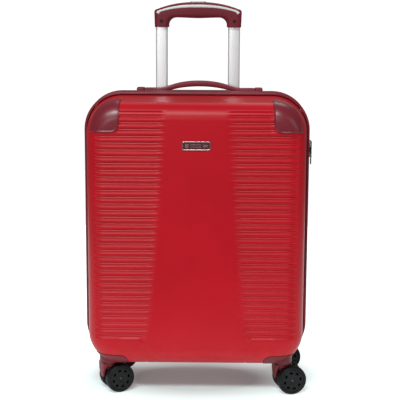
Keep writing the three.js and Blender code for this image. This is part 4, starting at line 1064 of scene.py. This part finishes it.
def make_carry_handle():
    """Sprung strap handle: flat ends, then a bell-shaped bow. Its section is a superellipse between the
    lower and the upper curve; a tongue at each end goes into the caps."""
    low, high = node_box("carry_handle")
    x0, y = (low[0] + high[0]) / 2, (low[1] + high[1]) / 2
    half, width = (high[0] - low[0]) / 2, high[1] - low[1]
    foot, crown = low[2], high[2]
    pad, pad_end, tongue = 8.0, half - 11.6, 3.0
    bow = pad_end - 23.7
    t = np.linspace(0, 1, 33)
    x = ((1 - t) ** 3 + 3 * (1 - t) ** 2 * t * 0.75 + 3 * (1 - t) * t ** 2 * 0.6) * bow
    rise = 3 * (1 - t) * t ** 2 + t ** 3
    lower = foot + (crown - 10 - foot) * rise
    upper = foot + pad + (crown - foot - pad) * rise
    flat_x = np.linspace(pad_end - 1.2, bow, 14)[:-1]
    xs = np.concatenate([[half, half - 0.4, pad_end + 0.01, pad_end], [pad_end - 0.4], flat_x, x])
    lo = np.concatenate([[foot + 0.4, foot, foot, foot], [foot], np.full(13, foot), lower])
    hi = np.concatenate([[foot + tongue - 0.4, foot + tongue, foot + tongue, foot + pad - 1.2],
                         [foot + pad - 0.4], np.full(13, foot + pad), upper])
    xs = np.concatenate([xs, -xs[-2::-1]])
    lo, hi = np.concatenate([lo, lo[-2::-1]]), np.concatenate([hi, hi[-2::-1]])
    ring = oval(2, 2, 4.5, 40)
    z = (lo + hi)[:, None] / 2 + (hi - lo)[:, None] / 2 * ring[None, :, 1]
    sheet = np.stack([np.broadcast_to((x0 + xs)[:, None], z.shape),
                      y + width / 2 * np.broadcast_to(ring[:, 0], z.shape), z], -1)
    piece("carry_handle_moulding", [sheet, cap(sheet[0]), cap(sheet[-1])], TRIM_MAROON, "carry_handle",
          ["carry_handle"], sharp=45)
    # soft insert with fine cross ribs along the crown
    u = np.linspace(-44, 44, 177)
    top = np.interp(np.abs(u), x[::-1], upper[::-1])
    across = np.linspace(-1, 1, 13)
    swell = 0.55 * (1 - np.abs(across) ** 4)[None] * smoothstep(44, 41, np.abs(u))[:, None]
    swell = swell * (0.72 + 0.28 * np.cos(2 * np.pi * u / 4.0))[:, None]
    zz = top[:, None] - 0.62 + swell
    over = np.stack([np.broadcast_to((x0 + u)[:, None], zz.shape),
                     y + 6.2 * np.broadcast_to(across, zz.shape), zz], -1)
    below = over.copy()
    below[..., 2] = top[:, None] - 1.4
    piece("carry_handle_insert", [over, below] + edge_fan(over, below), GRIP_MAROON, "carry_handle")
    for name, hand in HANDS:
        node_name = "carry_cap_" + name
        low, high = node_box(node_name)
        loop = round_rect(high[0] - low[0], high[1] - low[1], 3.5, 6)
        loop = shifted(loop, (low[0] + high[0]) / 2, (low[1] + high[1]) / 2)
        block = slab(loop, low[2] - 0.3, foot + pad + 0.25, "z", 1.4, 5, 0)
        made = thing(node_name + "_moulding", mesh_of(node_name, block))
        inner = low[0] if hand > 0 else high[0]
        hole = round_rect(40, width + 0.8, 1.2, 3)
        pocket = slab(shifted(hole, inner - hand * 8.5, y), foot - 6, foot + 6.1, "z", 0.6, 3)
        carve(made, [solid("pocket", pocket)], sharp=35)
        settle(made, TRIM_MAROON, "rear_case", [node_name])


# ---- Lock and zip sliders ------------------------------------------------------------------------------


def make_lock():
    """Lock case with three dial slots and a button well, notched dials, a domed button and a ring."""
    low, high = node_box("lock_body")
    y, z = (low[1] + high[1]) / 2, (low[2] + high[2]) / 2
    loop = shifted(round_rect(high[1] - low[1], high[2] - low[2], 4.5, 8), y, z)
    made = thing("lock_case", mesh_of("lock_case", slab(loop, low[0], high[0], "x", 1.4, 4, 0.0)))
    cutters = []
    for i in (1, 2, 3):
        dial_low, dial_high = node_box(f"lock_dial_{i}")
        mid = (dial_low + dial_high) / 2
        slot = shifted(round_rect(7.2, 4.0, 0.6, 3), mid[1], mid[2])
        cutters.append(solid("slot", slab(slot, mid[0] - 3.4, high[0] + 2, "x")))
        rim = [(1.3, -1.7), (2.9, -1.7), (3.2, -1.35), (3.2, 1.35), (2.9, 1.7), (1.3, 1.7), (1.3, -1.7)]
        wheel = turned(rim, mid, (0, 0, 1), 60)
        notch = 1 - 0.055 * (np.cos(np.linspace(0, 20 * np.pi, 61)) > 0.55)
        wheel[..., :2] = mid[:2] + (wheel[..., :2] - mid[:2]) * notch[None, :, None]
        piece(f"lock_dial_{i}_wheel", [wheel], STEEL, f"lock_dial_{i}", [f"lock_dial_{i}"])
    button_low, button_high = node_box("lock_button")
    mid = (button_low + button_high) / 2
    cutters.append(solid("well", slab(shifted(circle(2.9, 28), mid[1], mid[2]),
                                                      button_low[0] - 0.6, high[0] + 2, "x")))
    carve(made, cutters, sharp=35)
    settle(made, BLACK_PLASTIC, "rear_case", ["lock_body"])
    dome = [(0, button_high[0] - mid[0]), (1.6, button_high[0] - mid[0] - 0.05),
            (2.3, button_high[0] - mid[0] - 0.3), (2.58, button_high[0] - mid[0] - 0.7),
            (2.58, button_low[0] - mid[0]), (0, button_low[0] - mid[0])]
    piece("lock_button_cap", [turned(dome, mid, (1, 0, 0), 28)], STEEL, "lock_button",
          ["lock_button"])
    frame_rows = []
    for d, x in ((0.0, high[0] - 2.6), (-0.9, high[0] - 2.5), (-0.9, high[0] - 3.6), (0.0, high[0] - 3.6),
                 (0.0, high[0] - 2.6)):
        ring = round_rect(high[1] - low[1] - 2 * d - 0.1, high[2] - low[2] - 2 * d - 0.1, 4.5 - d, 8)
        frame_rows.append(place(shifted(ring, y, z), x, "x"))
    piece("lock_ring", [np.stack(frame_rows)], STEEL, "rear_case")


def make_sliders():
    """Waisted slider with two ears and a pin, and a tapered pull tab with an eye and a window."""
    for name in ("upper", "lower"):
        low, high = node_box("zip_slider_" + name)
        z = (low[2] + high[2]) / 2
        plate_top = low[0] + 4.0
        waist = oval(9.0, 10.0, 3.0, 36)
        waist[:, 0] *= 1 - 0.16 * np.cos(np.pi * waist[:, 1] / 10.0) ** 2
        body = slab(shifted(waist, 0, z), low[0], plate_top, "x", 1.0, 4, 0.4)
        pin_z = z - 2.5
        ears = []
        for hand in (-1, 1):
            ears += slab(shifted(round_rect(1.2, 3.2, 0.55, 4), hand * 3.7, pin_z), plate_top - 1.2, high[0],
                         "x", 0.5, 3, 0.0)
        tab_low, tab_high = node_box("pull_tab_" + name)
        tab_x = (tab_low[0] + tab_high[0]) / 2
        pin = turned([(0, -4.3), (0.75, -4.3), (0.75, 4.3), (0, 4.3)], (tab_x, 0, pin_z), (0, 1, 0), 14)
        piece(f"zip_slider_{name}_casting", body + ears + [pin], STEEL, "zip_slider_" + name,
              ["zip_slider_" + name])
        width = tab_high[1] - tab_low[1]
        top, bottom = tab_high[2], tab_low[2]
        shape = round_rect(width, top - bottom, 2.2, 6)
        taper = 1 - 0.14 * np.exp(-((shape[:, 1] - 1.5) / 3.5) ** 2)
        shape[:, 0] *= taper
        tab = thing(f"pull_tab_{name}_blade", mesh_of("tab", slab(
            shifted(shape, 0, (top + bottom) / 2), tab_low[0] + 0.3, tab_high[0] - 0.3, "x", 0.45, 3)))
        eye = solid("eye", slab(shifted(round_rect(3.4, 2.1, 0.9, 4), 0, pin_z), tab_low[0] - 1,
                                               tab_high[0] + 1, "x"))
        window = solid("window", slab(shifted(round_rect(2.6, 5.2, 1.25, 5), 0, bottom + 4.4),
                                                        tab_low[0] - 1, tab_high[0] + 1, "x"))
        carve(tab, [eye, window], sharp=35)
        settle(tab, BLACK_PLASTIC, "pull_tab_" + name, ["pull_tab_" + name])


# ---- Casters -------------------------------------------------------------------------------------------

WHEEL_RADIUS = 26.0
WHEEL_HALF = 7.25
HUB_HOLES = 8
HUB_HOLE_CIRCLE = 14.6


def tyre_profile():
    """Half-worn tread, rounded shoulders, a fine ring line and a step down to the hub."""
    r, h = WHEEL_RADIUS, WHEEL_HALF
    edge = rounded_corner([(20.1, h - 1.2), (20.4, h - 0.4), (21.9, h - 0.1), (22.25, h - 0.7),
                           (22.6, h - 0.1), (24.4, h - 0.5), (25.6, h - 2.0), (r, h - 3.6), (r, 0.0)], 0.8, 3)
    return np.concatenate([edge, (edge * [1, -1])[-2::-1], edge[:1]])


def hub_profile():
    """Flat disc with a shallow dish round the axle and a bevelled rim."""
    h = WHEEL_HALF
    edge = rounded_corner([(3.3, h - 1.4), (5.0, h - 1.4), (6.2, h - 0.7), (9.0, h - 0.45),
                           (19.4, h - 0.45), (20.15, h - 1.1)], 0.6, 3)
    return np.concatenate([edge, (edge * [1, -1])[::-1], edge[:1]])


def make_wheel(node_name, centre, axle, body):
    """Tyre and hub turned about the axle, the hub with a circle of oval holes."""
    piece(node_name + "_tyre", [turned(tyre_profile(), centre, axle, 72)], TYRE_BLACK, body,
          [node_name], sharp=40)
    hub = thing(node_name + "_hub", mesh_of(node_name + "_hub", [turned(hub_profile(), centre, axle, 48)]))
    side = np.cross(axle, (0, 0, 1))
    cutters = []
    for k in range(HUB_HOLES):
        a = 2 * np.pi * k / HUB_HOLES + 0.2
        out = np.cos(a) * side + np.sin(a) * np.array([0, 0, 1.0])
        along = -np.sin(a) * side + np.cos(a) * np.array([0, 0, 1.0])
        ring = oval(4.4, 6.0, 2.2, 20)
        flat = centre + HUB_HOLE_CIRCLE * out + ring[:, :1] * out + ring[:, 1:] * along
        rows = np.stack([flat - 12 * axle, flat + 12 * axle])
        cutters.append(solid("hole", [rows, cap(rows[0]), cap(rows[1])]))
    carve(hub, cutters, sharp=35)
    settle(hub, HUB_BLACK, body)


def make_caster(half, hand):
    """Turret, neck and blade in one moulding, an axle with domed ends and twin wheels. Everything is laid
    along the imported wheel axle, whose line and centre come from the joints."""
    name = f"{half}_{hand}"
    joints = {j["name"]: j for j in frame["joints"]}
    swivel = np.array(joints[name + "_swivel"]["pos_m"]) / MM
    spin = joints[name + "_wheel_a_spin"]
    axle = np.array(spin["axis"], float)
    axle /= np.linalg.norm(axle)
    boxes = {k: node_box(f"{name}_{k}") for k in ("wheel_a", "wheel_b", "fork", "axle")}
    mids = {k: (b[0] + b[1]) / 2 for k, b in boxes.items()}
    for k in ("wheel_a", "wheel_b"):
        make_wheel(f"{name}_{k}", mids[k], axle, f"{name}_{k}")
    hub = (mids["wheel_a"] + mids["wheel_b"]) / 2
    trail = np.array([hub[0] - swivel[0], hub[1] - swivel[1], 0.0])
    reach = np.linalg.norm(trail)
    trail /= reach
    body = name + "_caster"
    base = np.array([swivel[0], swivel[1], 0.0])
    up = np.array([0, 0, 1.0])

    # blade: outline between a front and a back curve, from the boss up to the neck
    z = spaced((16.5, 26, 8), (26, 44, 10), (44, 53.5, 8))
    boss = 9.0
    drop = np.sqrt(np.clip(boss ** 2 - np.clip(26 - z, 0, boss) ** 2, 0.3, None))
    front = np.where(z < 26, reach - drop, reach - boss - (reach - boss + 11.5) * smoothstep(26, 53.5, z))
    back = np.where(z < 26, reach + drop, reach + boss - (boss - 3.0) * smoothstep(26, 53.5, z))
    thick = np.where(z < 44, 5.2, 5.2 + 1.4 * smoothstep(44, 50, z))
    ring = oval(2, 2, 5.0, 36)
    mid_line, span = (front + back) / 2, (back - front) / 2
    run = mid_line[:, None] + span[:, None] * ring[None, :, 0]
    sheet = (base + up * z[:, None, None] + trail * run[..., None]
             + axle * (thick[:, None] * ring[None, :, 1])[..., None])
    turret = [(0, 46.0), (9.5, 46.0), (11.3, 47.5), (11.9, 49.5), (11.9, 54.3), (11.2, 54.9), (5.0, 54.95),
              (5.0, 70.0), (4.4, 70.6), (0, 70.6)]
    neck = turned(rounded_corner(turret, 0.8, 3), base, (0, 0, 1), 40)
    blade = thing(name + "_blade", mesh_of(name + "_blade", [sheet, cap(sheet[0]), cap(sheet[-1])]))
    stem = thing(name + "_stem", mesh_of(name + "_stem", [neck]))
    rows = [base + up * height + trail * (middle + thin * ring[:, :1]) + axle * (wide * ring[:, 1:])
            for height, middle, thin, wide in ((54.9, -10.5, 5.5, 13.5), (50, -11.8, 4.6, 13.0),
                                               (43, -13.4, 3.0, 11.0), (35, -13.8, 2.2, 8.0),
                                               (28, -12.9, 1.2, 5.0))]
    rows = np.stack(rows)
    hood = thing(name + "_hood", mesh_of(name + "_hood", [rows, cap(rows[0]), cap(rows[-1])]))
    carve(blade, [stem, hood], "UNION", sharp=35)
    blade.name = name + "_fork_moulding"
    settle(blade, HOUSING_MAROON, body, [name + "_fork"])
    length = 21.0
    pin = rounded_corner([(0, -length), (2.2, -length), (3.0, -length + 0.9), (3.0, length - 0.9),
                          (2.2, length), (0, length)], 0.5, 3)
    piece(name + "_axle_pin", [turned(pin, hub, axle, 28)], AXLE_STEEL, body, [name + "_axle"])


# ---- Lining, straps ------------------------------------------------------------------------------------


def over_housings(points, gap):
    """Moves points that lie inside a caster housing's block out through its nearest wall."""
    x, y, z = points[..., 0], np.abs(points[..., 1]), points[..., 2]
    into = np.stack([np.abs(x) - (ARCH_X - gap), y - (ARCH_Y - gap), (ARCH_Z + gap) - z], -1)
    inside = (into > 0).all(-1)
    nearest = into.argmin(-1)
    out = points.copy()
    pick = inside & (nearest == 0)
    out[..., 0] = np.where(pick, np.sign(x) * (ARCH_X - gap), out[..., 0])
    pick = inside & (nearest == 1)
    out[..., 1] = np.where(pick, np.sign(points[..., 1]) * (ARCH_Y - gap), out[..., 1])
    pick = inside & (nearest == 2)
    out[..., 2] = np.where(pick, ARCH_Z + gap, out[..., 2])
    return out


def make_linings():
    """Cloth stretched inside each tray: the tray's own surface moved in, laid over the housings and, in
    the rear half, over the flat panel that hides the handle tubes, with shallow wrinkles."""
    for half, side in SIDES:
        low, high = node_box(half + "_lining")
        deep = max(abs(low[1]), abs(high[1]))
        face, fillet, flat = (FACE, FACE_FILLET, FLAT) if side == FRONT else (deep + 3.0, 12.0, 45.6)
        outer, s, t = plain_tray(side, -3.1, face, fillet, flat, rim=RIM + 0.4, step=1.6)
        unit_in = tray(s, t, side, -4.1, face, fillet, flat) - outer
        ripple = (0.45 * wander(s, t * 0.6, 0, 61, 1.3 + side) + 0.3 * wander(s * 0.5, t, 0, 27, 2.9)
                  + 0.5 * np.exp(-((np.abs(s) - REACH_X - flat) / 9) ** 2) * np.sin(t / 5.1))
        to_rim = REACH_X + tray_end(face, fillet, flat) - np.abs(s)
        ripple = np.clip(ripple, -0.6, 0.9) * smoothstep(0, 25, to_rim)
        outer = over_housings(outer, 3.0)
        inner = over_housings(outer + unit_in * (1.3 + ripple + 0.6)[..., None], 4.3)
        uv = np.stack([s, t], -1) * MM
        sheets = [outer, inner] + edge_fan(outer, inner)
        made = piece(half + "_lining_cloth", sheets, LINING_CLOTH, half + "_case",
                     [half + "_lining"], uvs=[uv, uv] + edge_fan(uv, uv), sharp=60)


def make_straps():
    """Crossed packing straps: webbing with a raised edge, bent from its sewn end to the buckle and back."""
    buckle_low, buckle_high = node_box("strap_buckle")
    for name, hand in HANDS:
        low, high = node_box("packing_strap_" + name)
        width = 24.0
        end_x = (high[0] if hand > 0 else -low[0]) - width / 2
        near = min(abs(low[0]), abs(high[0]))
        line = rounded_corner([(end_x, low[2]), (near + width / 2 + 1, MIDDLE), (end_x, high[2])], 40, 14)
        extra = np.linspace(0, 1, 24)[1:-1, None]
        line = np.concatenate([line[:1], line[:1] * (1 - extra) + line[1:2] * extra, line[1:-1],
                               line[-2:-1] * (1 - extra) + line[-1:] * extra, line[-1:]])
        across = np.linspace(-1, 1, 9)
        top = (low[1] + 0.05) + 0.22 * across ** 2
        x = line[:, None, 0] + across[None] * width / 2
        z = np.broadcast_to(line[:, None, 1], x.shape)
        outer = np.stack([hand * x, np.broadcast_to(top, x.shape), z], -1)
        inner = outer.copy()
        inner[..., 1] = high[1]
        run = running_length(line)
        uv = np.stack(np.broadcast_arrays(run[:, None] * MM, across[None] * width / 2 * MM), -1)
        made = piece(f"packing_strap_{name}_webbing", [outer, inner] + edge_fan(outer, inner), WEBBING,
                     "rear_case", ["packing_strap_" + name],
                     uvs=[uv, uv] + edge_fan(uv, uv), sharp=50)
    size = buckle_high - buckle_low
    loop = shifted(round_rect(size[0], size[2], 6, 8), 0, MIDDLE)
    made = thing("buckle_frame", mesh_of("buckle", slab(loop, buckle_low[1], buckle_high[1], "y", 0.8, 3)))
    slots = [solid("slot", slab(shifted(round_rect(3.6, 25.5, 1.5, 4), x, MIDDLE),
                                                buckle_low[1] - 1, buckle_high[1] + 1, "y"))
             for x in (-12.5, 12.5)]
    carve(made, slots, sharp=35)
    settle(made, BLACK_PLASTIC, "rear_case", ["strap_buckle"])


# ---- The scene -----------------------------------------------------------------------------------------


def finish_cad_nodes():
    """Gives the CAD nodes plain finishes. Only the foot under the handle tubes stays in view as it is."""
    for name, obj in frame["nodes"].items():
        obj.data.materials.clear()
        obj.data.materials.append(BLACK_PLASTIC if "foot" in name else TRIM_MAROON)


def aim(obj, eye, target_way, roll=0.0):
    """Turns an object so that its own -Z looks along a direction, then rolls it about that line."""
    way = Vector(target_way).normalized()
    right = way.cross(Vector((0, 0, 1))).normalized()
    up = right.cross(way)
    c, s = math.cos(roll), math.sin(roll)
    right, up = right * c + up * s, up * c - right * s
    turn = Matrix((right, up, -way)).transposed().to_4x4()
    turn.translation = Vector(eye)
    obj.matrix_world = turn


def make_camera():
    """Long lens in front of the case and above it, pitched down and shifted so that the case is central."""
    azimuth, pitch, roll = math.radians(0.67), math.radians(10.04), math.radians(0.26)
    distance, eye_height = 2.0, 0.738
    data = bpy.data.cameras.new("camera")
    data.sensor_width, data.lens = 36.0, 101.52
    data.shift_x, data.shift_y = 0.00775, -0.0625
    data.clip_end = 20.0
    camera = thing("camera", data)
    aim(camera, (distance * math.sin(azimuth), -distance * math.cos(azimuth), eye_height),
        (-math.sin(azimuth) * math.cos(pitch), math.cos(azimuth) * math.cos(pitch), -math.sin(pitch)),
        roll)
    bpy.context.scene.camera = camera


CASE_MIDDLE = (0, 0, 0.3)


def softbox(name, eye, size, power):
    """White area light that points at the middle of the case."""
    data = bpy.data.lights.new(name, "AREA")
    data.shape = "RECTANGLE"
    data.size, data.size_y = size
    data.energy = power
    aim(thing(name, data), eye, np.array(CASE_MIDDLE) - np.array(eye))


def make_studio():
    """Flat floor that glows more the further it is from the case, so that its dim glow under the case is a
    painted shadow; its greenish base colour cancels the red light bounced onto it from the case. White
    surroundings that light it weakly, a key light above the front, and weaker front, side and rear lights."""
    material, tree, shader, coords = blank("studio_floor", Roughness=0.9, Specular_IOR_Level=0.1,
                                           Emission_Strength=1.0)
    speck = node(tree, "ShaderNodeTexNoise", {"Vector": coords.outputs["Object"], "Scale": 3.0})
    # greenish base colour that cancels the red light bounced from the case onto the floor: painted light
    tree.links.new(blend_colour(tree, speck.outputs[0], (0.62, 0.82, 0.80, 1), (0.64, 0.84, 0.82, 1)),
                   shader.inputs["Base Color"])
    # painted shadow: the floor's emission is dimmed inside an ellipse of these half sizes round the case
    painted_shadow_width, painted_shadow_depth = 0.22, 0.12
    squash = node(tree, "ShaderNodeVectorMath",
                  {0: coords.outputs["Object"], 1: (1 / painted_shadow_width, 1 / painted_shadow_depth, 0.0)},
                  operation="MULTIPLY").outputs[0]
    far = node(tree, "ShaderNodeVectorMath", {0: squash}, operation="LENGTH").outputs["Value"]
    glow_with_painted_shadow = spread(tree, far, 0.1, 0.9, 0.5, 1.4)
    tree.links.new(glow_with_painted_shadow, shader.inputs["Emission Color"])
    y, x = np.meshgrid(np.linspace(-0.45, 1.3, 24), np.linspace(-1.1, 1.1, 9), indexing="ij")
    sheet = np.stack([x, y, np.zeros_like(x)], -1) / MM
    floor = thing("studio_sweep", mesh_of("studio_sweep", [sheet], sharp=60))
    floor.data.materials.append(material)
    world = bpy.data.worlds.new("studio")
    world.use_nodes = True
    sky = world.node_tree
    seen = node(sky, "ShaderNodeLightPath").outputs["Is Camera Ray"]
    sky.links.new(spread(sky, seen, 0.2, 1.05), sky.nodes["Background"].inputs[1])
    sky.nodes["Background"].inputs[0].default_value = (1, 1, 1, 1)
    bpy.context.scene.world = world
    softbox("key", (-0.5, -1.9, 2.3), (1.5, 0.45), 60)
    softbox("front", (-0.6, -3.0, 1.0), (0.8, 0.8), 14)
    softbox("fill", (2.2, -2.0, 1.3), (0.7, 1.2), 7)
    softbox("rear", (0.5, 1.6, 2.8), (1.6, 0.8), 16)
    bpy.context.scene.view_settings.view_transform = "Standard"


finish_cad_nodes()
make_camera()
make_shells()
make_housings()
make_trims()
make_zip()
make_guards()
make_badge()
for hand_name, _ in HANDS:
    hollow_tube("outer_tube_" + hand_name, "rear_case")
    hollow_tube("mid_tube_" + hand_name, "mid_stage", corner=4.15)
    hollow_tube("inner_tube_" + hand_name, "pull_handle", corner=3.3)
make_grip()
make_bezel()
make_carry_handle()
make_lock()
make_sliders()
for half_name, _ in SIDES:
    for hand_name, _ in HANDS:
        make_caster(half_name, hand_name)
make_linings()
make_straps()
make_studio()

bpy.context.view_layer.update()
